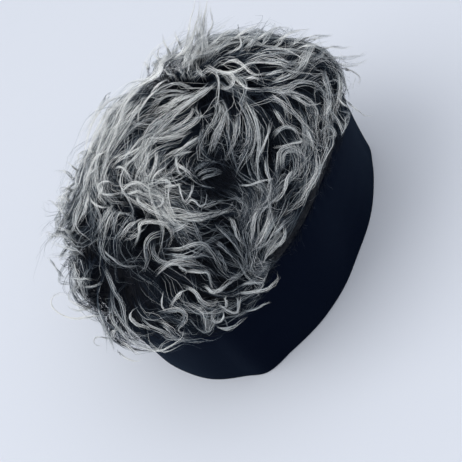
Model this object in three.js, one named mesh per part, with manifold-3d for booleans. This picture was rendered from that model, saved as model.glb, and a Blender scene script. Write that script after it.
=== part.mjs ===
// A beanie with a deep faux-fur cap. A wide band of folded black jersey carries a low cap of fur
// cloth, and the pile of that cloth lies over it in long wavy locks of charcoal and silver. The hat
// stands on its rim, a little slumped to one side, as it does on a table when nobody wears it.
// Millimetres, +Z up, the rim on z = 0 and the origin under the middle of the whole hat.
import * as THREE from "three";
import { mergeVertices } from "three/addons/utils/BufferGeometryUtils.js";
import Module from "manifold-3d";

// The band: a strip of jersey folded double, its fold at the rim.
const rimLength = 180;
const rimDepth = 129;
const bandHeight = 70;
const bandWall = 3;
const hemRounding = 0.7; // how far the fold's corners are rounded in, and half how far up
const bandTaper = 0.02; // how much narrower the band is at its seam, as a share

// The cap of fur cloth, its edge turned in and sewn inside the band.
const capRise = 50;
const capWall = 2;
const seamTurnIn = 8;
const seamGap = 0.3;
const slump = { x: 11, y: -3 }; // how far the cap's top leans over
const slumpPower = 1.5;

// The pile: a packed underfur with separate locks over it.
const pileDepth = 7;
const pileGap = 0.4;
const lockCount = 46;
const lockWidth = 12;
const lockLength = 50;
const lockFlatness = 0.45;
const lockClearance = 1.2; // between a lock's underside and the cap
const lockSides = 5;
const lockSteps = 5;
const wavesPerLock = 1.3;
const lockScatter = { length: 0.3, width: 0.4, lift: 0.5, turn: 24 }; // shares, and degrees
const combReach = 15; // how far one row of the comb table is felt
const tuft = { count: 7, depth: 0.14 }; // swellings of the underfur round the hat

const around = 44; // facets round the hat

// The rim's outline: its reach as a share of a plain oval of the rim's length and depth. The
// corner near 236 degrees is where the band folds between its front and its side.
const rimOutline = [
  { azimuth: 0, reach: 1.0 },
  { azimuth: 22, reach: 0.99 },
  { azimuth: 45, reach: 0.97 },
  { azimuth: 68, reach: 0.98 },
  { azimuth: 90, reach: 1.0 },
  { azimuth: 112, reach: 0.99 },
  { azimuth: 135, reach: 0.97 },
  { azimuth: 158, reach: 0.96 },
  { azimuth: 180, reach: 0.99 },
  { azimuth: 198, reach: 1.02 },
  { azimuth: 213, reach: 1.08 },
  { azimuth: 226, reach: 1.12 },
  { azimuth: 236, reach: 1.17 },
  { azimuth: 248, reach: 1.11 },
  { azimuth: 265, reach: 1.06 },
  { azimuth: 285, reach: 0.99 },
  { azimuth: 304, reach: 0.92 },
  { azimuth: 320, reach: 0.9 },
  { azimuth: 338, reach: 0.9 },
  { azimuth: 350, reach: 0.94 },
];

// Soft dents in the band: where, how deep and how wide as shares of the band's height, and how
// high each one starts and ends.
const bandDents = [
  { azimuth: 243, depth: 0.035, width: 0.14, from: 0.12, to: 1.0 },
  { azimuth: 205, depth: 0.02, width: 0.2, from: 0.3, to: 1.0 },
  { azimuth: 318, depth: 0.015, width: 0.3, from: 0.0, to: 0.7 },
  { azimuth: 30, depth: 0.03, width: 0.25, from: 0.0, to: 1.0 },
  { azimuth: 128, depth: 0.03, width: 0.3, from: 0.0, to: 1.0 },
];

// Soft dents in the cap: tilt is the angle above the seam, span is in degrees, and depth is a
// share of the cap's rise.
const capDents = [
  { azimuth: 20, tilt: 48, span: 17, depth: 0.08 },
  { azimuth: 272, tilt: 42, span: 13, depth: 0.09 },
  { azimuth: 150, tilt: 30, span: 22, depth: 0.05 },
];

// How deep the packed underfur is at each tilt, as a share of pileDepth.
const pileThickness = [
  { tilt: -10, share: 0.35 },
  { tilt: 0, share: 0.5 },
  { tilt: 20, share: 0.85 },
  { tilt: 50, share: 1.0 },
  { tilt: 90, share: 1.0 },
];

// How far the underfur hangs over the band, as a share of the band's height.
const pileHem = [
  { azimuth: 0, overhang: 0.07 },
  { azimuth: 60, overhang: 0.12 },
  { azimuth: 95, overhang: 0.09 },
  { azimuth: 130, overhang: 0.13 },
  { azimuth: 172, overhang: 0.17 },
  { azimuth: 200, overhang: 0.22 },
  { azimuth: 218, overhang: 0.18 },
  { azimuth: 238, overhang: 0.1 },
  { azimuth: 256, overhang: 0.04 },
  { azimuth: 272, overhang: 0.09 },
  { azimuth: 288, overhang: 0.06 },
  { azimuth: 312, overhang: 0.12 },
  { azimuth: 335, overhang: 0.08 },
];

// How the fur is combed. Heading 0 lies straight down the cap and 90 lies round it towards a
// larger azimuth. Length is a share of lockLength, wave a share of lockWidth to either side and lift
// a share of pileDepth.
const comb = [
  { azimuth: 335, tilt: 66, heading: -140, length: 1.12, wave: 0.3, lift: 0.9 },
  { azimuth: 200, tilt: 66, heading: -10, length: 1.20, wave: 0.35, lift: 0.8 },
  { azimuth: 150, tilt: 55, heading: 40, length: 1.20, wave: 0.3, lift: 0.9 },
  { azimuth: 110, tilt: 48, heading: 70, length: 1.20, wave: 0.3, lift: 1.1 },
  { azimuth: 80, tilt: 45, heading: 105, length: 1.05, wave: 0.3, lift: 1.4 },
  { azimuth: 300, tilt: 58, heading: -55, length: 1.12, wave: 0.35, lift: 0.8 },
  { azimuth: 300, tilt: 38, heading: -50, length: 1.05, wave: 0.5, lift: 0.6 },
  { azimuth: 275, tilt: 50, heading: -35, length: 0.90, wave: 0.3, lift: 0.5 },
  { azimuth: 225, tilt: 46, heading: 85, length: 0.97, wave: 1.0, lift: 0.9 },
  { azimuth: 195, tilt: 44, heading: 30, length: 0.97, wave: 1.0, lift: 0.9 },
  { azimuth: 165, tilt: 48, heading: 20, length: 0.97, wave: 0.9, lift: 1.0 },
  { azimuth: 155, tilt: 22, heading: 0, length: 0.75, wave: 0.3, lift: 1.5 },
  { azimuth: 188, tilt: 20, heading: 15, length: 1.12, wave: 0.4, lift: 0.8 },
  { azimuth: 206, tilt: 28, heading: -10, length: 1.05, wave: 0.4, lift: 0.6 },
  { azimuth: 216, tilt: 6, heading: 30, length: 0.75, wave: 1.2, lift: 0.9 },
  { azimuth: 236, tilt: 25, heading: 55, length: 0.97, wave: 0.8, lift: 0.8 },
  { azimuth: 250, tilt: 8, heading: 45, length: 0.67, wave: 1.1, lift: 0.7 },
  { azimuth: 263, tilt: 25, heading: 5, length: 0.75, wave: 0.5, lift: 0.5 },
  { azimuth: 280, tilt: 22, heading: -50, length: 0.82, wave: 0.5, lift: 0.4 },
  { azimuth: 305, tilt: 20, heading: -70, length: 0.82, wave: 0.6, lift: 0.4 },
  { azimuth: 328, tilt: 20, heading: -60, length: 0.82, wave: 0.9, lift: 0.5 },
  { azimuth: 350, tilt: 18, heading: -55, length: 0.75, wave: 0.6, lift: 0.9 },
  { azimuth: 0, tilt: 50, heading: -55, length: 1.12, wave: 0.7, lift: 1.0 },
  { azimuth: 25, tilt: 28, heading: -40, length: 0.90, wave: 0.4, lift: 1.1 },
  { azimuth: 60, tilt: 42, heading: -80, length: 0.90, wave: 0.4, lift: 1.2 },
  { azimuth: 60, tilt: 12, heading: -10, length: 0.75, wave: 0.5, lift: 0.9 },
  { azimuth: 95, tilt: 14, heading: 5, length: 0.75, wave: 0.5, lift: 0.9 },
  { azimuth: 130, tilt: 12, heading: 5, length: 0.75, wave: 0.5, lift: 1.0 },
];

// The few locks that stand clear of the rest and make the outline ragged. Length and rise are
// shares of lockLength.
const looseLocks = [
  { azimuth: 78, tilt: 44, heading: 60, length: 0.90, rise: 0.63 },
  { azimuth: 70, tilt: 46, heading: 10, length: 0.75, rise: 0.48 },
  { azimuth: 20, tilt: 14, heading: -30, length: 0.75, rise: 0.39 },
  { azimuth: 176, tilt: 14, heading: -15, length: 0.90, rise: 0.39 },
  { azimuth: 166, tilt: 8, heading: 5, length: 0.82, rise: 0.36 },
];

const radians = THREE.MathUtils.degToRad;
const clamp = THREE.MathUtils.clamp;
const capTop = bandHeight + capRise;

// A steady scatter between 0 and 1 for a whole number and a channel.
function scatter(number, channel) {
  const wide = Math.sin(number * 12.9898 + channel * 78.233) * 43758.5453;
  return wide - Math.floor(wide);
}

// A smooth value between the rows of a table that goes once round the hat.
function roundTable(rows, column, azimuth) {
  const turn = ((azimuth % 360) + 360) % 360;
  const count = rows.length;
  let low = count - 1;
  while (low > 0 && rows[low].azimuth > turn) low -= 1;
  const row = (step) => {
    const index = low + step;
    const lap = Math.floor(index / count);
    const found = rows[index - lap * count];
    return { at: found.azimuth + 360 * lap, value: found[column] };
  };
  const [before, from, to, after] = [row(-1), row(0), row(1), row(2)];
  const share = (turn - from.at) / (to.at - from.at);
  const slopeFrom = ((to.value - before.value) / (to.at - before.at)) * (to.at - from.at);
  const slopeTo = ((after.value - from.value) / (after.at - from.at)) * (to.at - from.at);
  const cube = share ** 3;
  const square = share ** 2;
  return (
    (2 * cube - 3 * square + 1) * from.value +
    (cube - 2 * square + share) * slopeFrom +
    (3 * square - 2 * cube) * to.value +
    (cube - square) * slopeTo
  );
}

// A straight-line value between the rows of a table of tilts.
function tiltTable(rows, column, tilt) {
  const above = rows.findIndex((row) => row.tilt >= tilt);
  if (above <= 0) return above === 0 ? rows[0][column] : rows[rows.length - 1][column];
  const [from, to] = [rows[above - 1], rows[above]];
  const share = (tilt - from.tilt) / (to.tilt - from.tilt);
  return from[column] + share * (to[column] - from[column]);
}

function angleBetween(first, second) {
  return Math.abs(((first - second + 540) % 360) - 180);
}

function rimRadius(azimuth) {
  const across = (rimDepth / 2) * Math.cos(radians(azimuth));
  const along = (rimLength / 2) * Math.sin(radians(azimuth));
  const oval = (rimLength * rimDepth) / 4 / Math.hypot(across, along);
  return oval * roundTable(rimOutline, "reach", azimuth);
}

function leanAt(height) {
  const share = clamp(height / capTop, 0, 1.5) ** slumpPower;
  return { x: slump.x * share, y: slump.y * share };
}

function bandDent(azimuth, height) {
  const level = height / bandHeight;
  return bandDents.reduce((sum, dent) => {
    const middle = (dent.from + dent.to) / 2;
    const reach = (dent.to - dent.from) / 2;
    const fade = clamp(1.3 - Math.abs(level - middle) / reach, 0, 1);
    const offset = radians(angleBetween(azimuth, dent.azimuth)) * rimRadius(azimuth);
    const spread = Math.exp(-((offset / (dent.width * bandHeight)) ** 2));
    return sum + dent.depth * bandHeight * spread * fade;
  }, 0);
}

// A point on the band's outside, moved out by lift.
function bandPoint(azimuth, height, lift) {
  const taper = 1 - bandTaper * (height / bandHeight);
  const radius = rimRadius(azimuth) * taper - bandDent(azimuth, height) + lift;
  const lean = leanAt(height);
  return new THREE.Vector3(
    radius * Math.cos(radians(azimuth)) + lean.x,
    radius * Math.sin(radians(azimuth)) + lean.y,
    height,
  );
}

function capDent(azimuth, tilt) {
  return capDents.reduce((sum, dent) => {
    const turn = angleBetween(azimuth, dent.azimuth) * Math.cos(radians(tilt));
    const apart = Math.hypot(turn, tilt - dent.tilt) / dent.span;
    return sum + dent.depth * capRise * Math.exp(-(apart ** 2));
  }, 0);
}

// A point on the cap's outside, moved out by lift. It meets the band's outside at tilt 0.
function capPoint(azimuth, tilt, lift) {
  const seamRadius = rimRadius(azimuth) * (1 - bandTaper) - bandDent(azimuth, bandHeight);
  const level = Math.cos(radians(tilt));
  const rise = Math.sin(radians(tilt));
  const reach = 1 / Math.hypot(level / seamRadius, rise / capRise);
  const radius = reach - capDent(azimuth, tilt) * rise + lift;
  const height = bandHeight + radius * rise;
  const lean = leanAt(height);
  return new THREE.Vector3(
    radius * level * Math.cos(radians(azimuth)) + lean.x,
    radius * level * Math.sin(radians(azimuth)) + lean.y,
    height,
  );
}

// The hat's outside under any point, moved out by lift.
function underPoint(point, lift) {
  const lean = leanAt(point.z);
  const x = point.x - lean.x;
  const y = point.y - lean.y;
  const azimuth = THREE.MathUtils.radToDeg(Math.atan2(y, x));
  if (point.z < bandHeight) return bandPoint(azimuth, point.z, lift);
  const tilt = THREE.MathUtils.radToDeg(Math.atan2(point.z - bandHeight, Math.hypot(x, y)));
  return capPoint(azimuth, tilt, lift);
}

// The directions on the cap at a place: down the fall line, round towards a larger azimuth, out.
function directionsAt(azimuth, tilt) {
  const step = 0.5;
  const down = capPoint(azimuth, tilt - step, 0).sub(capPoint(azimuth, tilt + step, 0)).normalize();
  const round = capPoint(azimuth + step, tilt, 0).sub(capPoint(azimuth - step, tilt, 0)).normalize();
  const out = new THREE.Vector3().crossVectors(down, round).normalize();
  return { down, round, out };
}

function outwardUnder(point) {
  return underPoint(point, 1).sub(underPoint(point, 0)).normalize();
}

// A closed mesh through a list of rings. A ring of one point is a pole, and without poles the last
// ring joins the first. Each four-cornered face is split along its shorter diagonal, so that two
// surfaces that follow each other closely are split alike.
function loft(rings) {
  const points = rings.flat();
  const starts = rings.map((ring, index) => rings.slice(0, index).flat().length);
  const faces = [];
  const hasPoles = rings[0].length === 1;
  const bands = hasPoles ? rings.length - 1 : rings.length;
  for (let band = 0; band < bands; band += 1) {
    const next = (band + 1) % rings.length;
    const [upper, lower] = [rings[band].length, rings[next].length];
    const count = Math.max(upper, lower);
    for (let i = 0; i < count; i += 1) {
      const j = (i + 1) % count;
      const [a, b] = [starts[band] + (i % upper), starts[band] + (j % upper)];
      const [c, d] = [starts[next] + (i % lower), starts[next] + (j % lower)];
      const isShort = points[a].distanceTo(points[d]) <= points[b].distanceTo(points[c]);
      if (upper === 1) faces.push(a, c, d);
      else if (lower === 1) faces.push(a, c, b);
      else if (isShort) faces.push(a, c, d, a, d, b);
      else faces.push(a, c, b, b, c, d);
    }
  }
  const geometry = new THREE.BufferGeometry().setFromPoints(points);
  geometry.setIndex(faces);
  geometry.computeVertexNormals();
  return geometry;
}

function ringOf(pointAt) {
  return Array.from({ length: around }, (_, index) => pointAt((index * 360) / around));
}

function bandGeometry() {
  const heights = [...[1, 0.76, 0.52, 0.28].map((share) => share * bandHeight), 2 * hemRounding];
  const outside = heights.map((height) => ringOf((azimuth) => bandPoint(azimuth, height, 0)));
  const inside = [...heights]
    .reverse()
    .map((height) => ringOf((azimuth) => bandPoint(azimuth, height, -bandWall)));
  const foot = [hemRounding, bandWall - hemRounding].map((inset) =>
    ringOf((azimuth) => bandPoint(azimuth, 0, -inset)),
  );
  return loft([...outside, ...foot, ...inside]);
}

const capTilts = [72, 55, 42, 30, 19, 9];
const apexTilt = 90;

function capGeometry() {
  const turnedIn = -bandWall - seamGap;
  const outside = [
    [capPoint(0, apexTilt, 0)],
    ...capTilts.map((tilt) => ringOf((azimuth) => capPoint(azimuth, tilt, 0))),
    ringOf((azimuth) => bandPoint(azimuth, bandHeight, 0).setZ(bandHeight + seamGap)),
    ringOf((azimuth) => bandPoint(azimuth, bandHeight, turnedIn).setZ(bandHeight + seamGap)),
    ringOf((azimuth) => bandPoint(azimuth, bandHeight - seamTurnIn, turnedIn)),
  ];
  const inside = [
    ringOf((azimuth) => bandPoint(azimuth, bandHeight - seamTurnIn, turnedIn - capWall)),
    ringOf((azimuth) => bandPoint(azimuth, bandHeight, turnedIn - capWall)),
    ...[...capTilts].reverse().map((tilt) => ringOf((azimuth) => capPoint(azimuth, tilt, -capWall))),
    [capPoint(0, apexTilt, -capWall)],
  ];
  return loft([...outside, ...inside]);
}

function pileLift(azimuth, tilt) {
  const swelling = tuft.depth * Math.sin(radians(azimuth * tuft.count)) * Math.cos(radians(tilt * 5));
  return pileGap + pileDepth * (1 + swelling) * tiltTable(pileThickness, "share", tilt);
}

function pileGeometry() {
  const seam = (lift) => ringOf((azimuth) => bandPoint(azimuth, bandHeight, 0).setZ(bandHeight + lift));
  const hem = (liftAt) =>
    ringOf((azimuth) => {
      const overhang = bandHeight * roundTable(pileHem, "overhang", azimuth);
      return bandPoint(azimuth, bandHeight - overhang, liftAt(azimuth));
    });
  const outside = [
    [capPoint(0, apexTilt, pileLift(0, apexTilt))],
    ...capTilts.map((tilt) => ringOf((azimuth) => capPoint(azimuth, tilt, pileLift(azimuth, tilt)))),
    ringOf((azimuth) => bandPoint(azimuth, bandHeight, pileLift(azimuth, 0))),
    hem((azimuth) => pileLift(azimuth, pileThickness[0].tilt)),
  ];
  const inside = [
    hem(() => pileGap),
    ringOf((azimuth) => bandPoint(azimuth, bandHeight, pileGap)),
    ...[...capTilts].reverse().map((tilt) => ringOf((azimuth) => capPoint(azimuth, tilt, pileGap))),
    [capPoint(0, apexTilt, pileGap)],
  ];
  return loft([...outside, ...inside]);
}

// Each comb row's place in space and the way its hair runs there.
const combGuides = comb.map((row) => {
  const { down, round } = directionsAt(row.azimuth, row.tilt);
  const turn = radians(row.heading);
  const way = down.multiplyScalar(Math.cos(turn)).addScaledVector(round, Math.sin(turn));
  return { ...row, place: capPoint(row.azimuth, row.tilt, 0), way };
});

// The comb's way and its other columns at a point, each row counting less the farther off it is.
function combAt(point) {
  const way = new THREE.Vector3();
  const sums = { weight: 0, length: 0, wave: 0, lift: 0 };
  combGuides.forEach((guide) => {
    const weight = Math.exp(-((point.distanceTo(guide.place) / combReach) ** 2)) + 1e-6;
    way.addScaledVector(guide.way, weight);
    sums.weight += weight;
    sums.length += weight * guide.length;
    sums.wave += weight * guide.wave;
    sums.lift += weight * guide.lift;
  });
  return {
    way: way.normalize(),
    length: sums.length / sums.weight,
    wave: sums.wave / sums.weight,
    lift: sums.lift / sums.weight,
  };
}

// A lock that comes down to the hem turns to run along it.
function turnedAtHem(spot, way) {
  const lean = leanAt(spot.z);
  const azimuth = THREE.MathUtils.radToDeg(Math.atan2(spot.y - lean.y, spot.x - lean.x));
  const hemHeight = bandHeight * (1 - roundTable(pileHem, "overhang", azimuth));
  const room = clamp((spot.z - hemHeight) / (2 * pileDepth), 0, 1);
  return way.z < 0 ? way.setZ(way.z * room) : way;
}

// The middle line of a lock that starts at a place on the cap and follows the comb. Its root is
// inside the underfur, it rises to its lift over the first half, and it waves from side to side.
function combedLine(azimuth, tilt, number) {
  const lowest = pileGap + lockClearance + (lockWidth * lockFlatness) / 2;
  const start = capPoint(azimuth, tilt, 0);
  const { length, wave, lift } = combAt(start);
  const reach = length * lockLength * (1 + lockScatter.length * (scatter(number, 1) - 0.5));
  const phase = 2 * Math.PI * scatter(number, 2);
  const rise = pileDepth * (0.55 + lift * (0.35 + lockScatter.lift * scatter(number, 3)));
  const turn = radians(lockScatter.turn * (scatter(number, 4) - 0.5));
  const line = [];
  let spot = start;
  for (let step = 0; step <= lockSteps; step += 1) {
    const along = step / lockSteps;
    const out = outwardUnder(spot);
    const combed = combAt(spot).way.applyAxisAngle(out, turn);
    const way = turnedAtHem(spot, combed).projectOnPlane(out).normalize();
    const side = new THREE.Vector3().crossVectors(out, way);
    const sway = wave * lockWidth * along * Math.sin(2 * Math.PI * along * wavesPerLock + phase);
    const height = lowest + rise * Math.sin(Math.PI * Math.min(1, along * 1.15));
    const swayed = underPoint(spot.clone().addScaledVector(side, sway), height);
    line.push(swayed);
    spot = underPoint(spot.addScaledVector(way, reach / lockSteps), 0);
  }
  return line;
}

// A lock that leaves the surface: it starts the same way and then runs straight on, rising.
function looseLine(row) {
  const { down, round, out } = directionsAt(row.azimuth, row.tilt);
  const turn = radians(row.heading);
  const way = down.multiplyScalar(Math.cos(turn)).addScaledVector(round, Math.sin(turn));
  const root = capPoint(row.azimuth, row.tilt, pileDepth * 0.6);
  return Array.from({ length: lockSteps + 1 }, (_, step) => {
    const along = step / lockSteps;
    const run = row.length * lockLength * along;
    const rise = row.rise * lockLength * along * (1 - 0.35 * along);
    return root.clone().addScaledVector(way, run).addScaledVector(out, rise);
  });
}

// A closed, tapering, slightly flat lock along a middle line.
function lockGeometry(line, width) {
  const rings = line.map((spot, step) => {
    const along = step / lockSteps;
    const ahead = line[Math.min(step + 1, lockSteps)];
    const behind = line[Math.max(step - 1, 0)];
    const way = ahead.clone().sub(behind).normalize();
    const out = outwardUnder(spot).projectOnPlane(way).normalize();
    const side = new THREE.Vector3().crossVectors(way, out);
    const breadth = width * (0.55 + 0.45 * Math.sin(Math.PI * Math.min(1, along * 1.4)));
    const half = (breadth * (1 - along ** 2.2) + 0.12 * width) / 2;
    return Array.from({ length: lockSides }, (_, index) => {
      const turn = (2 * Math.PI * index) / lockSides;
      return spot
        .clone()
        .addScaledVector(side, -half * Math.sin(turn))
        .addScaledVector(out, half * lockFlatness * Math.cos(turn));
    });
  });
  const ends = [line[0], line[lockSteps]];
  return loft([[ends[0]], ...rings, [ends[1]]]);
}

const wasm = await Module();
wasm.setup();

function toSolid(geometry) {
  const bare = geometry.clone();
  bare.deleteAttribute("normal");
  bare.deleteAttribute("uv");
  const merged = mergeVertices(bare, 1e-5);
  const vertProperties = new Float32Array(merged.attributes.position.array);
  const triVerts = new Uint32Array(merged.index.array);
  return new wasm.Manifold(new wasm.Mesh({ numProp: 3, vertProperties, triVerts }));
}

// The faces of a mesh's largest shell, without the shells of pockets closed in between the locks.
function outerFaces(faces, vertexCount) {
  const owner = Array.from({ length: vertexCount }, (_, index) => index);
  const find = (vertex) => {
    let top = vertex;
    while (owner[top] !== top) top = owner[top];
    owner[vertex] = top;
    return top;
  };
  for (let i = 0; i < faces.length; i += 3) {
    owner[find(faces[i + 1])] = find(faces[i]);
    owner[find(faces[i + 2])] = find(faces[i]);
  }
  const sizes = new Map();
  faces.forEach((vertex) => sizes.set(find(vertex), (sizes.get(find(vertex)) ?? 0) + 1));
  const [largest] = [...sizes].sort((first, second) => second[1] - first[1])[0];
  return faces.filter((_, index) => find(faces[index - (index % 3)]) === largest);
}

function toGeometry(solid) {
  const mesh = solid.getMesh();
  const vertexCount = mesh.vertProperties.length / 3;
  const faces = outerFaces(mesh.triVerts, vertexCount);
  const geometry = new THREE.BufferGeometry();
  geometry.setAttribute("position", new THREE.BufferAttribute(mesh.vertProperties, 3));
  geometry.setIndex(new THREE.BufferAttribute(faces, 1));
  geometry.computeVertexNormals();
  return geometry;
}

// The locks' roots, spread evenly over the cap by the golden angle.
function lockRoots() {
  const goldenAngle = 180 * (3 - Math.sqrt(5));
  const lowTilt = Math.sin(radians(3));
  const highTilt = Math.sin(radians(84));
  return Array.from({ length: lockCount }, (_, number) => {
    const share = (number + 0.5) / lockCount;
    const tilt = THREE.MathUtils.radToDeg(Math.asin(lowTilt + share * (highTilt - lowTilt)));
    return { number, azimuth: (number * goldenAngle) % 360, tilt };
  });
}

function furGeometry() {
  const combed = lockRoots().map(({ number, azimuth, tilt }) =>
    lockGeometry(
      combedLine(azimuth, tilt, number),
      lockWidth * (1 + lockScatter.width * (scatter(number, 5) - 0.5)),
    ),
  );
  const loose = looseLocks.map((row) => lockGeometry(looseLine(row), lockWidth * 0.8));
  const whole = [...combed, ...loose].reduce(
    (body, lock) => body.add(toSolid(lock)),
    toSolid(pileGeometry()),
  );
  return toGeometry(whole);
}

const jersey = new THREE.MeshStandardMaterial({ color: 0x06080c, roughness: 0.95, metalness: 0 });
const furCloth = new THREE.MeshStandardMaterial({ color: 0x14181d, roughness: 1, metalness: 0 });
const pile = new THREE.MeshStandardMaterial({ color: 0x6c7176, roughness: 0.8, metalness: 0 });

function piece(name, geometry, material) {
  const mesh = new THREE.Mesh(geometry, material);
  mesh.name = name;
  return mesh;
}

const beanie = new THREE.Group();
beanie.name = "beanie";
beanie.add(
  piece("band", bandGeometry(), jersey),
  piece("crown", capGeometry(), furCloth),
  piece("fur", furGeometry(), pile),
);

// The origin goes under the middle of the whole hat.
const reach = new THREE.Box3().setFromObject(beanie);
const middle = reach.getCenter(new THREE.Vector3());
beanie.children.forEach((mesh) => mesh.position.set(-middle.x, -middle.y, -reach.min.z));

export default beanie;
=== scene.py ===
# A beanie: a wide band of black jersey under a low crown of long, wavy, silver-tipped faux fur.
# It stands on its rim, a little slumped to one side. Lengths are metres, written as so many mm.
import math

import bmesh
import bpy
import numpy as np
from mathutils import Matrix, Vector


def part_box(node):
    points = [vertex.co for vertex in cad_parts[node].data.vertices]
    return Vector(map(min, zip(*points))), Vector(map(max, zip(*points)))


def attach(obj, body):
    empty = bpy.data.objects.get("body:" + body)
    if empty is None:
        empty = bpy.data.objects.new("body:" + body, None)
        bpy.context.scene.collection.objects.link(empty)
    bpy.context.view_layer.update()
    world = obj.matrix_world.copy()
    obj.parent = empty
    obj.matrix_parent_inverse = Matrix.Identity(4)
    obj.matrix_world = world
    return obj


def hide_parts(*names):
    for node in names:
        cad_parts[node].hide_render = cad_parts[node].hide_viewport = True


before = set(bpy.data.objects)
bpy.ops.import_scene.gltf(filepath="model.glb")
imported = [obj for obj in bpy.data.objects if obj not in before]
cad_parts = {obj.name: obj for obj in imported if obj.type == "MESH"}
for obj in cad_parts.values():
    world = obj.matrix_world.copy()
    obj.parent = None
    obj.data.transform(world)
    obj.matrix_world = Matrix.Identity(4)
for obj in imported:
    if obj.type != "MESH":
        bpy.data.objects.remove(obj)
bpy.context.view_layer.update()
print("frame loaded")

mm = 0.001
bodyName = "root"

hat = {
    "rimLength": 180 * mm,
    "rimDepth": 129 * mm,
    "bandWall": 3 * mm,
    "bandTaper": 0.02,  # how much narrower the band is at its seam, as a share
    "capWall": 2 * mm,
    "seamTurnIn": 8 * mm,
    "seamGap": 0.3 * mm,
    "slump": (11 * mm, -3 * mm),  # how far the top leans over
    "slumpPower": 1.5,
}
bandLow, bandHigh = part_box("band")
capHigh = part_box("crown")[1]
hat["bandHeight"] = bandHigh[2] - bandLow[2]
hat["capRise"] = capHigh[2] - bandHigh[2]
hat["top"] = hat["bandHeight"] + hat["capRise"]

rimOutline = [  # azimuth in degrees, reach as a share of a plain oval; the band's corner is at 236
    (0, 1.0), (22, 0.99), (45, 0.97), (68, 0.98), (90, 1.0), (112, 0.99), (135, 0.97), (158, 0.96),
    (180, 0.99), (198, 1.02), (213, 1.08), (226, 1.12), (236, 1.17), (248, 1.11), (265, 1.06),
    (285, 0.99), (304, 0.92), (320, 0.9), (338, 0.9), (350, 0.94),
]
bandDents = [  # azimuth, depth and width as shares of the band's height, and the levels it spans
    {"azimuth": 243, "depth": 0.035, "width": 0.14, "low": 0.12, "high": 1.0},
    {"azimuth": 205, "depth": 0.02, "width": 0.2, "low": 0.3, "high": 1.0},
    {"azimuth": 318, "depth": 0.015, "width": 0.3, "low": 0.0, "high": 0.7},
    {"azimuth": 30, "depth": 0.03, "width": 0.25, "low": 0.0, "high": 1.0},
    {"azimuth": 128, "depth": 0.03, "width": 0.3, "low": 0.0, "high": 1.0},
]
capDents = [  # azimuth, tilt above the seam and span in degrees, depth as a share of the cap's rise
    {"azimuth": 20, "tilt": 48, "span": 17, "depth": 0.08},
    {"azimuth": 272, "tilt": 42, "span": 13, "depth": 0.09},
    {"azimuth": 150, "tilt": 30, "span": 22, "depth": 0.05},
]


# Shape of the hat. Every function works on whole arrays of points in the hat's own frame.
def roundTable(rows, azimuth):
    places = np.array([row[0] for row in rows], float)
    values = np.array([row[1] for row in rows], float)
    places = np.concatenate([places - 360, places, places + 360])
    values = np.tile(values, 3)
    turn = np.mod(azimuth, 360)
    at = np.clip(np.searchsorted(places, turn, side="right") - 1, 1, len(places) - 3)
    gap = places[at + 1] - places[at]
    share = (turn - places[at]) / gap
    slopeIn = (values[at + 1] - values[at - 1]) / (places[at + 1] - places[at - 1]) * gap
    slopeOut = (values[at + 2] - values[at]) / (places[at + 2] - places[at]) * gap
    square, cube = share ** 2, share ** 3
    return (
        (2 * cube - 3 * square + 1) * values[at] + (cube - 2 * square + share) * slopeIn
        + (3 * square - 2 * cube) * values[at + 1] + (cube - square) * slopeOut
    )


def angleBetween(first, second):
    return np.abs(np.mod(first - second + 540, 360) - 180)


def rimRadius(azimuth):
    across = hat["rimDepth"] / 2 * np.cos(np.radians(azimuth))
    along = hat["rimLength"] / 2 * np.sin(np.radians(azimuth))
    oval = hat["rimLength"] * hat["rimDepth"] / 4 / np.hypot(across, along)
    return oval * roundTable(rimOutline, azimuth)


def bandDent(azimuth, height):
    level = height / hat["bandHeight"]
    total = 0.0
    for dent in bandDents:
        middle = (dent["low"] + dent["high"]) / 2
        reach = (dent["high"] - dent["low"]) / 2
        fade = np.clip(1.3 - np.abs(level - middle) / reach, 0, 1)
        offset = np.radians(angleBetween(azimuth, dent["azimuth"])) * rimRadius(azimuth)
        spread = np.exp(-(offset / (dent["width"] * hat["bandHeight"])) ** 2)
        total = total + dent["depth"] * hat["bandHeight"] * spread * fade
    return total


def bandRadius(azimuth, height):
    taper = 1 - hat["bandTaper"] * height / hat["bandHeight"]
    return rimRadius(azimuth) * taper - bandDent(azimuth, height)


def capRadius(azimuth, tilt):
    total = 0.0
    for dent in capDents:
        turn = angleBetween(azimuth, dent["azimuth"]) * np.cos(np.radians(tilt))
        apart = np.hypot(turn, tilt - dent["tilt"]) / dent["span"]
        total = total + dent["depth"] * hat["capRise"] * np.exp(-apart ** 2)
    level, rise = np.cos(np.radians(tilt)), np.sin(np.radians(tilt))
    reach = 1 / np.hypot(level / bandRadius(azimuth, hat["bandHeight"]), rise / hat["capRise"])
    return reach - total * rise


def leaned(points, sign=1):
    share = np.clip(points[..., 2] / hat["top"], 0, 1.5) ** hat["slumpPower"]
    moved = points.copy()
    moved[..., 0] += sign * hat["slump"][0] * share
    moved[..., 1] += sign * hat["slump"][1] * share
    return moved


def bandPoint(azimuth, height, lift=0.0):
    radius = bandRadius(azimuth, height) + lift
    turn = np.radians(azimuth)
    flat = np.stack([radius * np.cos(turn), radius * np.sin(turn), height + 0 * radius], -1)
    return leaned(flat)


def capPoint(azimuth, tilt, lift=0.0):
    radius = capRadius(azimuth, tilt) + lift
    turn, rise = np.radians(azimuth), np.radians(tilt)
    level = radius * np.cos(rise)
    height = hat["bandHeight"] + radius * np.sin(rise)
    return leaned(np.stack([level * np.cos(turn), level * np.sin(turn), height], -1))


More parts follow.
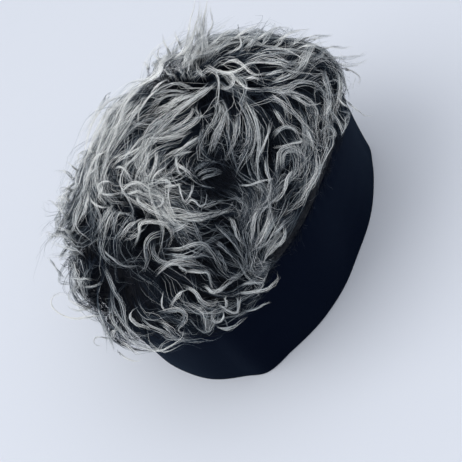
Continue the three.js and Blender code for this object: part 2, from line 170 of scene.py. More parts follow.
def hatPlace(points):  # azimuth, tilt and height over the cloth of any points
    upright = leaned(points, -1)
    level = np.hypot(upright[..., 0], upright[..., 1])
    azimuth = np.degrees(np.arctan2(upright[..., 1], upright[..., 0]))
    above = upright[..., 2] - hat["bandHeight"]
    tilt = np.degrees(np.arctan2(above, level))
    onCap = above > 0
    capLift = np.hypot(level, above) - capRadius(azimuth, np.where(onCap, tilt, 0))
    bandLift = level - bandRadius(azimuth, upright[..., 2])
    return azimuth, tilt, np.where(onCap, capLift, bandLift), onCap


def onCloth(points, lift):  # the same places at another height over the cloth
    azimuth, tilt, _, onCap = hatPlace(points)
    onTop = capPoint(azimuth, np.where(onCap, tilt, 0), lift)
    onBand = bandPoint(azimuth, points[..., 2], lift)
    return np.where(onCap[..., None], onTop, onBand)


def unit(vectors):
    return vectors / np.maximum(np.linalg.norm(vectors, axis=-1, keepdims=True), 1e-12)


def outward(points, step=0.5 * mm):
    here = hatPlace(points)[2]
    slopes = [hatPlace(points + step * axis)[2] - here for axis in np.eye(3)]
    return unit(np.stack(slopes, -1))


outlineTurns = np.arange(0, 360, 0.5)
outline = np.concatenate([bandPoint(outlineTurns, h * hat["bandHeight"]) for h in (0, 0.5, 1)])
ownMiddle = (outline.min(0) + outline.max(0)) / 2
cadMiddle = [(bandLow[i] + bandHigh[i]) / 2 for i in (0, 1)]
frameShift = np.array([cadMiddle[0] - ownMiddle[0], cadMiddle[1] - ownMiddle[1], bandLow[2]])
print("hat surface set up, shift", frameShift.round(4))


# The camera: from above the long side, turned about its own axis as the photograph is.
camera = {
    "elevation": 50,
    "roll": 44,
    "distance": 0.52,
    "imageSize": 462,  # pixels
    "focalPixels": 866.7,
    "aimPixel": (270, 256),  # where the aim point shows in the image
    "aimPoint": (0, -10 * mm, 0),
}


def cameraWays():  # right, up and back, as the picture shows them
    tilt, roll = math.radians(camera["elevation"]), math.radians(camera["roll"])
    back = np.array([0, -math.cos(tilt), math.sin(tilt)])
    level = np.array([1.0, 0, 0])
    upright = np.cross(back, level)
    right = math.cos(roll) * level - math.sin(roll) * upright
    up = math.sin(roll) * level + math.cos(roll) * upright
    return right, up, back


def sightLines(pixels):  # from the camera through pixels, one unit deep
    right, up, back = cameraWays()
    offset = (np.asarray(pixels, float) - camera["imageSize"] / 2) / camera["focalPixels"]
    return offset[..., :1] * right - offset[..., 1:] * up - back


cameraPlace = np.array(camera["aimPoint"]) - camera["distance"] * sightLines(camera["aimPixel"])


def makeCamera():
    bpy.ops.object.camera_add()
    eye = bpy.context.object
    eye.name = "photoCamera"
    turn = Matrix([list(way) for way in cameraWays()]).transposed().to_4x4()
    eye.matrix_world = Matrix.Translation(cameraPlace + frameShift) @ turn
    eye.data.sensor_width = 36
    eye.data.lens = camera["focalPixels"] / camera["imageSize"] * eye.data.sensor_width
    eye.data.clip_start = 10 * mm
    bpy.context.scene.camera = eye


makeCamera()
print("camera set")


# Materials
def hexColour(text):
    parts = [int(text[i:i + 2], 16) / 255 for i in (0, 2, 4)]
    linear = [v / 12.92 if v <= 0.04045 else ((v + 0.055) / 1.055) ** 2.4 for v in parts]
    return (*linear, 1.0)


def addNode(material, kind, settings=None, links=None):
    node = material.node_tree.nodes.new(kind)
    for name, value in (settings or {}).items():
        if name in node.inputs:
            node.inputs[name].default_value = value
        else:
            setattr(node, name, value)
    for name, source in (links or {}).items():
        material.node_tree.links.new(source, node.inputs[name])
    return node


def newMaterial(name, settings):
    material = bpy.data.materials.new(name)
    material.use_nodes = True
    surface = material.node_tree.nodes["Principled BSDF"]
    for socket, value in settings.items():
        surface.inputs[socket].default_value = value
    return material, surface


def fillRamp(ramp, stops):
    elements = ramp.color_ramp.elements
    while len(elements) < len(stops):
        elements.new(0.5)
    for element, (place, colour) in zip(elements, stops):
        element.position = place
        element.color = hexColour(colour)


# Modacrylic fur fibre, crimped and tipped: charcoal at the root, silver-white at the tip, with the
# soft gleam of a smooth round fibre.
# The shade attribute runs from root colour to tip colour, and also carries painted shade deep in the
# pile and patches of tone and painted light.
furColours = {
    "stops": [
        (0.0, "080E1A"), (0.28, "1F2A38"), (0.5, "5A646E"), (0.72, "B7BEC2"), (1.0, "FDFDFA"),
    ],
    "roughness": 0.45,
    "gloss": 0.12,
    "sheen": 0.02,
}


def makeFurFibre():
    material, surface = newMaterial("modacrylicFurFibre", {
        "Roughness": furColours["roughness"],
        "Specular IOR Level": furColours["gloss"],
        "Sheen Weight": furColours["sheen"],
        "Sheen Roughness": 0.4,
    })
    shade = addNode(material, "ShaderNodeAttribute", {"attribute_name": "shade"})
    ramp = addNode(material, "ShaderNodeValToRGB", links={"Fac": shade.outputs["Fac"]})
    fillRamp(ramp, furColours["stops"])
    material.node_tree.links.new(ramp.outputs["Color"], surface.inputs["Base Color"])
    return material


# Cotton jersey, piece-dyed black with a cold cast: matte, faintly brushed, its colour mottled a shade
# lighter in places, its fine wales and courses a bump.
jersey = {
    "dark": "010412",
    "light": "040B1E",
    "waleSpacing": 1.1 * mm,  # real wales are 0.7 mm apart; drawn coarser so that they show
    "courseSpacing": 0.9 * mm,
    "bump": 0.12 * mm,
}


def makeJersey():
    material, surface = newMaterial("pieceDyedCottonJersey", {
        "Roughness": 0.9,
        "Specular IOR Level": 0.03,
        "Sheen Weight": 0.1,
        "Sheen Roughness": 0.4,
    })
    surface.inputs["Sheen Tint"].default_value = hexColour("6F93B5")
    uv = addNode(material, "ShaderNodeUVMap", {"uv_map": "clothMillimetres"})
    split = addNode(material, "ShaderNodeSeparateXYZ", links={"Vector": uv.outputs["UV"]})

    def wave(source, spacing, shift=None):
        links = {0: source}
        turns = addNode(material, "ShaderNodeMath", {"operation": "MULTIPLY"}, links)
        turns.inputs[1].default_value = 2 * math.pi / spacing * mm
        if shift is not None:
            turns = addNode(material, "ShaderNodeMath", {"operation": "ADD"},
                            {0: turns.outputs[0], 1: shift})
        return addNode(material, "ShaderNodeMath", {"operation": "SINE"}, {0: turns.outputs[0]})

    wales = wave(split.outputs["X"], jersey["waleSpacing"])
    courses = wave(split.outputs["Y"], jersey["courseSpacing"], wales.outputs[0])
    knit = addNode(material, "ShaderNodeMath", {"operation": "ADD"},
                   {0: wales.outputs[0], 1: courses.outputs[0]})
    fuzz = addNode(material, "ShaderNodeTexNoise", {"Scale": 1.6, "Detail": 6.0, "Roughness": 0.7},
                   {"Vector": uv.outputs["UV"]})
    height = addNode(material, "ShaderNodeMath", {"operation": "MULTIPLY_ADD"},
                     {0: knit.outputs[0], 2: fuzz.outputs["Fac"]})
    height.inputs[1].default_value = 0.25
    bump = addNode(material, "ShaderNodeBump", {"Strength": 0.5, "Distance": jersey["bump"]},
                   {"Height": height.outputs[0]})
    tone = addNode(material, "ShaderNodeValToRGB", links={"Fac": fuzz.outputs["Fac"]})
    fillRamp(tone, [(0.35, jersey["dark"]), (0.75, jersey["light"])])
    material.node_tree.links.new(tone.outputs["Color"], surface.inputs["Base Color"])
    material.node_tree.links.new(bump.outputs["Normal"], surface.inputs["Normal"])
    return material


# Warp-knitted polyester backing of the fur cloth: dark, dull, with a rib every 1.5 mm.
backing = {"dark": "04070F", "light": "0B101B", "ribSpacing": 1.5 * mm, "bump": 0.3 * mm}


def makeBacking():
    material, surface = newMaterial("warpKnitBacking", {"Roughness": 0.95, "IOR": 1.45})
    coordinates = addNode(material, "ShaderNodeTexCoord")
    ribs = addNode(material, "ShaderNodeTexWave",
                   {"Scale": 1 / backing["ribSpacing"] / (2 * math.pi), "Distortion": 1.5},
                   {"Vector": coordinates.outputs["Object"]})
    fuzz = addNode(material, "ShaderNodeTexNoise", {"Scale": 900.0, "Detail": 4.0},
                   {"Vector": coordinates.outputs["Object"]})
    tone = addNode(material, "ShaderNodeValToRGB", links={"Fac": fuzz.outputs["Fac"]})
    fillRamp(tone, [(0.3, backing["dark"]), (0.7, backing["light"])])
    bump = addNode(material, "ShaderNodeBump", {"Strength": 0.6, "Distance": backing["bump"]},
                   {"Height": ribs.outputs["Fac"]})
    material.node_tree.links.new(tone.outputs["Color"], surface.inputs["Base Color"])
    material.node_tree.links.new(bump.outputs["Normal"], surface.inputs["Normal"])
    return material


# Matte melamine laminate of the table, pale and cool.
def makeLaminate():
    material, surface = newMaterial("matteWhiteLaminate", {"Roughness": 0.6, "IOR": 1.45})
    surface.inputs["Base Color"].default_value = hexColour("D9DCE3")
    return material


furFibre = makeFurFibre()
jerseyCloth = makeJersey()
backingCloth = makeBacking()
laminate = makeLaminate()
print("materials made")


# Small modelling helpers
def deselectAll():
    bpy.ops.object.select_all(action="DESELECT")


def newest(name):
    piece = bpy.context.view_layer.objects.active
    piece.name = name
    piece.data.name = name
    return piece


def applyModifier(piece, kind, settings):
    modifier = piece.modifiers.new(kind.title(), kind)
    for name, value in settings.items():
        setattr(modifier, name, value)
    deselectAll()
    piece.select_set(True)
    bpy.context.view_layer.objects.active = piece
    bpy.ops.object.modifier_apply(modifier=modifier.name)


def thicken(piece, wall):  # a wall on the inner side of the cloth's outer face
    settings = {"thickness": wall, "offset": -1, "use_even_offset": True}
    applyModifier(piece, "SOLIDIFY", settings)


def meshPoints(piece):
    flat = np.empty(len(piece.data.vertices) * 3)
    piece.data.vertices.foreach_get("co", flat)
    return flat.reshape(-1, 3)


def setMeshPoints(piece, points):
    piece.data.vertices.foreach_set("co", np.asarray(points, float).ravel())
    piece.data.update()


def mergeDoubles(piece, distance):
    deselectAll()
    piece.select_set(True)
    bpy.context.view_layer.objects.active = piece
    bpy.ops.object.mode_set(mode="EDIT")
    bpy.ops.mesh.select_all(action="SELECT")
    bpy.ops.mesh.remove_doubles(threshold=distance)
    bpy.ops.mesh.normals_make_consistent(inside=False)
    bpy.ops.object.mode_set(mode="OBJECT")


def finishPiece(piece, material, slotName, *nodes):
    piece.data.materials.clear()
    piece.data.materials.append(material)
    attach(piece, bodyName)
    if nodes:
        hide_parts(*nodes)


# The band: a strip of jersey folded double, wrapped round and sewn into a ring.
band = {
    "columns": 300,
    "rows": 30,
    "seamAzimuth": 97,  # the strip's two ends meet at the back
    "seamDepth": 0.7 * mm,
    "seamWidth": 1.6 * mm,
    "hemRounding": 1.3 * mm,
    "foldZone": 0.1 * mm,  # edges this near to the rim are bevelled
    "topZone": 0.6 * mm,  # and those this near to the top
    "sharpAngle": 1.0,  # radians; flatter edges aren't bevelled
    "ripple": 0.5 * mm,
    "slowWaves": [(3, 2.1, 0.4, 1.0), (7, -3.4, 0.0, 0.6)],  # times round, twist, start and share
    "puckers": 61,  # small gathers round the seam with the fur
    "puckersFrom": 0.75,  # the level where they begin
    "flatBelow": 0.2,  # the level where the ripple reaches its full depth
}


def bandRipple(azimuth, level):
    turn = np.radians(azimuth)
    slow = 0.0
    for times, twist, start, share in band["slowWaves"]:
        slow = slow + share * np.sin(times * turn + twist * level + start)
    rise = np.clip((level - band["puckersFrom"]) / (1 - band["puckersFrom"]), 0, 1)
    gather = np.sin(band["puckers"] * turn + 1.3 * np.sin(9 * turn)) * rise ** 2
    return band["ripple"] * (0.5 * slow + 0.7 * gather)


def makeBand():
    deselectAll()
    columns, rows = band["columns"], band["rows"]
    bpy.ops.mesh.primitive_grid_add(x_subdivisions=columns, y_subdivisions=rows, size=1)
    piece = newest("bandCloth")
    strip = meshPoints(piece) + [0.5, 0.5, 0]
    azimuth = band["seamAzimuth"] + 360 * strip[:, 0]
    level = strip[:, 1]
    height = level * hat["bandHeight"]
    fromSeam = np.radians(angleBetween(azimuth, band["seamAzimuth"])) * rimRadius(azimuth)
    groove = band["seamDepth"] * np.exp(-(fromSeam / band["seamWidth"]) ** 2)
    lift = bandRipple(azimuth, level) * np.clip(level / band["flatBelow"], 0, 1) - groove
    setMeshPoints(piece, bandPoint(azimuth, height, lift) + frameShift)
    scaleUv(piece, "clothMillimetres", perimeter() / mm, hat["bandHeight"] / mm)
    mergeDoubles(piece, 0.05 * mm)
    thicken(piece, hat["bandWall"])
    roundHem(piece)
    points = meshPoints(piece)
    points[:, 2] = np.maximum(points[:, 2], frameShift[2])
    setMeshPoints(piece, points)
    bpy.ops.object.shade_smooth()
    finishPiece(piece, jerseyCloth, "jersey", "band")
    perimeter()  # folded double


def perimeter():
    rim = bandPoint(outlineTurns, 0)
    return float(np.linalg.norm(rim - np.roll(rim, 1, axis=0), axis=1).sum())


def scaleUv(piece, name, width, height):
    layer = piece.data.uv_layers[0]
    layer.name = name
    flat = np.empty(len(layer.data) * 2)
    layer.data.foreach_get("uv", flat)
    flat = flat.reshape(-1, 2) * [width, height]
    layer.data.foreach_set("uv", flat.ravel())


def roundHem(piece):  # the fold at the rim and the raw top edge are bevelled round
    wall = bmesh.new()
    wall.from_mesh(piece.data)
    foldEnd = frameShift[2] + band["foldZone"]
    topStart = frameShift[2] + hat["bandHeight"] - band["topZone"]
    sharp = []
    for edge in wall.edges:
        heights = [vert.co.z for vert in edge.verts]
        atEnd = max(heights) < foldEnd or min(heights) > topStart
        if atEnd and edge.calc_face_angle(0) > band["sharpAngle"]:
            sharp.append(edge)
    bmesh.ops.bevel(wall, geom=sharp, offset=band["hemRounding"], segments=3, profile=0.6,
                    affect="EDGES", clamp_overlap=True)
    wall.to_mesh(piece.data)
    wall.free()


# The crown: the fur cloth's knitted backing, its edge turned in behind the top of the band.
crown = {"segments": 120, "rings": 40}


def makeCrown():
    deselectAll()
    segments, rings = crown["segments"], crown["rings"]
    bpy.ops.mesh.primitive_uv_sphere_add(segments=segments, ring_count=rings, radius=1)
    piece = newest("crownCloth")
    bpy.ops.object.mode_set(mode="EDIT")
    bpy.ops.mesh.select_all(action="SELECT")
    bpy.ops.mesh.bisect(plane_co=(0, 0, 0), plane_no=(0, 0, 1), clear_inner=True)
    bpy.ops.object.mode_set(mode="OBJECT")
    ball = meshPoints(piece)
    azimuth = np.degrees(np.arctan2(ball[:, 1], ball[:, 0]))
    tilt = np.degrees(np.arcsin(np.clip(ball[:, 2], 0, 1)))
    points = capPoint(azimuth, tilt) + [0, 0, hat["seamGap"]]
    setMeshPoints(piece, points + frameShift)
    mergeDoubles(piece, 0.01 * mm)
    turnInSeam(piece)
    thicken(piece, hat["capWall"])
    bpy.ops.object.shade_smooth()
    finishPiece(piece, backingCloth, "fur_cloth", "crown")


def turnInSeam(piece):
    seamHeight = frameShift[2] + hat["bandHeight"] + hat["seamGap"]
    cloth = bmesh.new()
    cloth.from_mesh(piece.data)
    for inset, drop in ((hat["bandWall"] + hat["seamGap"], 0), (0, hat["seamTurnIn"])):
        edge = [e for e in cloth.edges if e.is_boundary]
        made = bmesh.ops.extrude_edge_only(cloth, edges=edge)["geom"]
        for vert in (g for g in made if isinstance(g, bmesh.types.BMVert)):
            inwards = Vector((vert.co.x, vert.co.y, 0)).normalized()
            vert.co -= inwards * inset
            vert.co.z = min(vert.co.z, seamHeight) - drop
    bmesh.ops.recalc_face_normals(cloth, faces=cloth.faces)
    cloth.to_mesh(piece.data)
    cloth.free()


# The fur. How it is combed: heading 0 lies straight down the crown and 90 lies round it towards a
# larger azimuth. Length, wave and lift are shares of those of each layer of fur.
furForm = {
    "depth": 11 * mm,
    "combReach": 12 * mm,  # how far one row of the comb is felt
    "drawnReach": 8 * mm,  # how far a drawn lock is felt
    "combPull": 0.45,  # the comb's weight against the drawn locks nearby
    "besideDrawn": 0.2,  # how much duller other locks are beside the drawn ones
    "depthPasses": 5,  # how often a drawn lock's distance from the camera is evened out
    "drawnOver": 2 * mm,  # the drawn locks lie on top of the rest
    "flatShare": 0.3,  # height of the pile where the comb lies flat, as a share of its depth
    "highest": 146 * mm,  # no hair reaches higher over the floor
    "overMost": 0.2,  # how much of what a lock rises too high is left
    "heave": 0.6,  # how far a lock waves up and down, as a share of its waves to the sides
    "hemTurn": 5 * mm,  # how near to the hem a lock starts to turn along it
    "hemSlope": 1.1,  # how fast the hair may rise off the cloth above the hem
    "overHem": 0.3,  # how much of what rises higher near the hem is left
    "fringe": 8 * mm,  # how far single hairs may hang past the hem
    "paintedShadeBelow": 0.38,  # painted shade: hair lower in the pile than this share of its height is painted at its darkest, the deepest painted shade below
    "deepestPaintedShade": 0.06,
    "patchPull": 1.6,  # how strongly the patches of tone and painted shade are felt
    "paleFeel": 0.5,  # how much less a pale hair takes the painted shade and tone of its place
    "paleOnset": 0.35,  # how much sooner above its root a pale hair is pale
    "cloth": 0.6 * mm,  # least height of any hair over the cloth
}
scatter = {  # the least share of each value, and how much more of it a lock or hair may get
    "length": (0.75, 0.5), "lift": (0.55, 0.55), "wave": (0.4, 1.2), "waves": (1.1, 1.3),
    "size": (0.7, 0.6), "cycles": (1.0, 2.2), "stray": (0.3, 2), "onset": (0.5, 1.0),
    "radius": (0.7, 0.6),
}
combColumns = ("azimuth", "tilt", "heading", "length", "wave", "lift")
combRows = [
    (335, 66, -140, 1.1, 0.3, 0.9), (200, 66, -10, 1.2, 0.35, 0.9), (150, 55, 40, 1.2, 0.3, 1.4),
    (110, 48, 70, 1.2, 0.3, 1.8), (80, 45, 105, 1.05, 0.3, 2.1), (300, 58, -62, 1.1, 0.35, 0.8),
    (300, 38, -50, 1.05, 0.5, 0.6), (272, 50, -50, 0.9, 0.3, 0.5), (225, 46, 85, 0.97, 0.7, 0.9),
    (195, 44, 30, 0.97, 0.7, 1.1), (165, 48, 20, 0.97, 0.7, 1.3), (155, 22, 0, 0.75, 0.3, 2.3),
    (188, 20, 15, 1.1, 0.4, 1.5), (206, 28, -10, 1.05, 0.4, 0.6), (216, 6, 30, 0.75, 0.9, 0.9),
    (236, 25, 55, 0.97, 0.8, 0.8), (250, 8, 45, 0.67, 0.8, 0.7), (263, 25, 5, 0.75, 0.5, 0.5),
    (280, 22, -50, 0.82, 0.5, 0.4), (305, 20, -70, 0.82, 0.6, 0.4), (328, 20, -60, 0.82, 0.9, 0.4),
    (350, 18, -55, 0.75, 0.6, 0.4), (0, 50, -55, 1.1, 0.7, 0.9), (28, 30, -40, 0.9, 0.4, 1.0),
    (8, 26, -45, 0.8, 0.4, 0.1), (5, 8, -40, 0.75, 0.4, 0.1), (50, 42, 50, 0.7, 0.3, 1.9),
    (60, 12, -10, 0.75, 0.5, 1.0), (95, 14, 5, 0.75, 0.5, 1.3), (130, 12, 5, 0.75, 0.5, 1.6),
    (70, 52, 105, 0.9, 0.3, 2.5), (30, 42, -40, 0.8, 0.4, 1.0), (284, 55, -60, 1.0, 0.3, 0.8),
    (274, 65, -62, 1.0, 0.3, 0.9), (288, 44, -80, 0.9, 0.3, 0.6), (257, 48, -43, 0.7, 0.4, 0.2),
    (272, 30, -52, 0.85, 0.4, 0.5), (283, 30, -48, 0.85, 0.4, 0.5), (253, 66, -110, 0.9, 0.3, 0.8),
]
comb = {name: np.array([row[i] for row in combRows], float) for i, name in enumerate(combColumns)}

# Azimuth, how far the fur hangs over the band as a share of its height, lift at the edge in mm.
furHem = [
    (0, 0.07, 5), (60, 0.12, 7), (95, 0.09, 8), (130, 0.13, 10), (165, 0.2, 10), (190, 0.33, 8),
    (210, 0.22, 7), (224, 0.1, 5), (236, 0.12, 4), (246, 0.13, 3.5), (256, -0.02, 3),
    (264, -0.15, 2.5), (285, -0.15, 2), (305, -0.15, 1.5), (320, -0.1, 2), (336, 0.03, 4),
]
hemDrop = [(row[0], row[1]) for row in furHem]
hemLift = [(row[0], row[2]) for row in furHem]
# Azimuth, tilt and span in degrees, and how much lighter or darker the hair is painted there: partly
# the fur's own tone, partly painted shade in its hollows and on its side away from the light, and
# painted light on its lit side.
toneAndShadePatches = [
    (38, 71, 16, 0.3), (342, 57, 14, 0.2), (329, 42, 10, -0.15), (345, 12, 12, -0.2),
    (335, 22, 10, -0.15), (135, 60, 25, 0.2), (110, 45, 25, 0.15), (222, 47, 12, 0.4),
    (265, 46, 9, -0.35), (275, 60, 12, -0.2), (305, 42, 14, -0.2), (285, 32, 12, -0.2),
    (245, 33, 12, -0.25), (180, 40, 14, 0.05),
    (209, 32, 10, -0.32), (202, 24, 10, -0.35), (197, 34, 8, -0.15), (211, 18, 9, -0.15),
    (181, 22, 9, -0.22), (222, 27, 10, -0.15), (255, 22, 11, -0.2), (246, 10, 10, -0.12),
    (281, 17, 11, -0.18), (225, 4, 10, -0.25), (206, 4, 10, -0.15), (256, 47, 9, -0.3),
    (246, 3, 8, -0.3), (234, 0, 8, -0.3), (30, 48, 14, 0.3), (355, 37, 12, 0.12), (250, 25, 10, -0.35),
    (277, 46, 10, -0.25), (262, 48, 8, -0.4), (65, 62, 14, 0.25),
]


# Single locks that show plainly in the photograph, each drawn as the image pixels that its
# middle line runs through, from root to tip. It rises from the cloth to its own height over the pile.
drawnLayer = {
    "seed": 21, "hairsPerLock": 14, "segments": 12, "rootSpread": 1.9 * mm, "tipSpread": 0.8 * mm,
    "gather": 0.7, "thickness": 0.6, "stray": 0.8 * mm, "cross": 0.5 * mm, "lengthSpread": 0.4,
    "rootShade": 0.25, "tipShade": 0.86, "toneSpread": 0.2, "paleShare": 0.45, "paleShade": 1.0,
    "onset": 0.13, "radius": 0.105 * mm, "startSpread": 0.25, "kept": False, "placeFeel": 0.5,
    "rootRise": 0.1, "riseRate": 2.4,  # how high a lock starts, and how fast it rises along its way
    "settlePasses": 3,  # how often its height is fitted to the pile below
    "feltEvery": 3,  # every third place on it turns the hair nearby
}
sightSearch = {"near": 0.68, "far": 1.25, "samples": 330}  # shares of the camera's distance
drawnColumns = ("size", "tone", "over", "path")
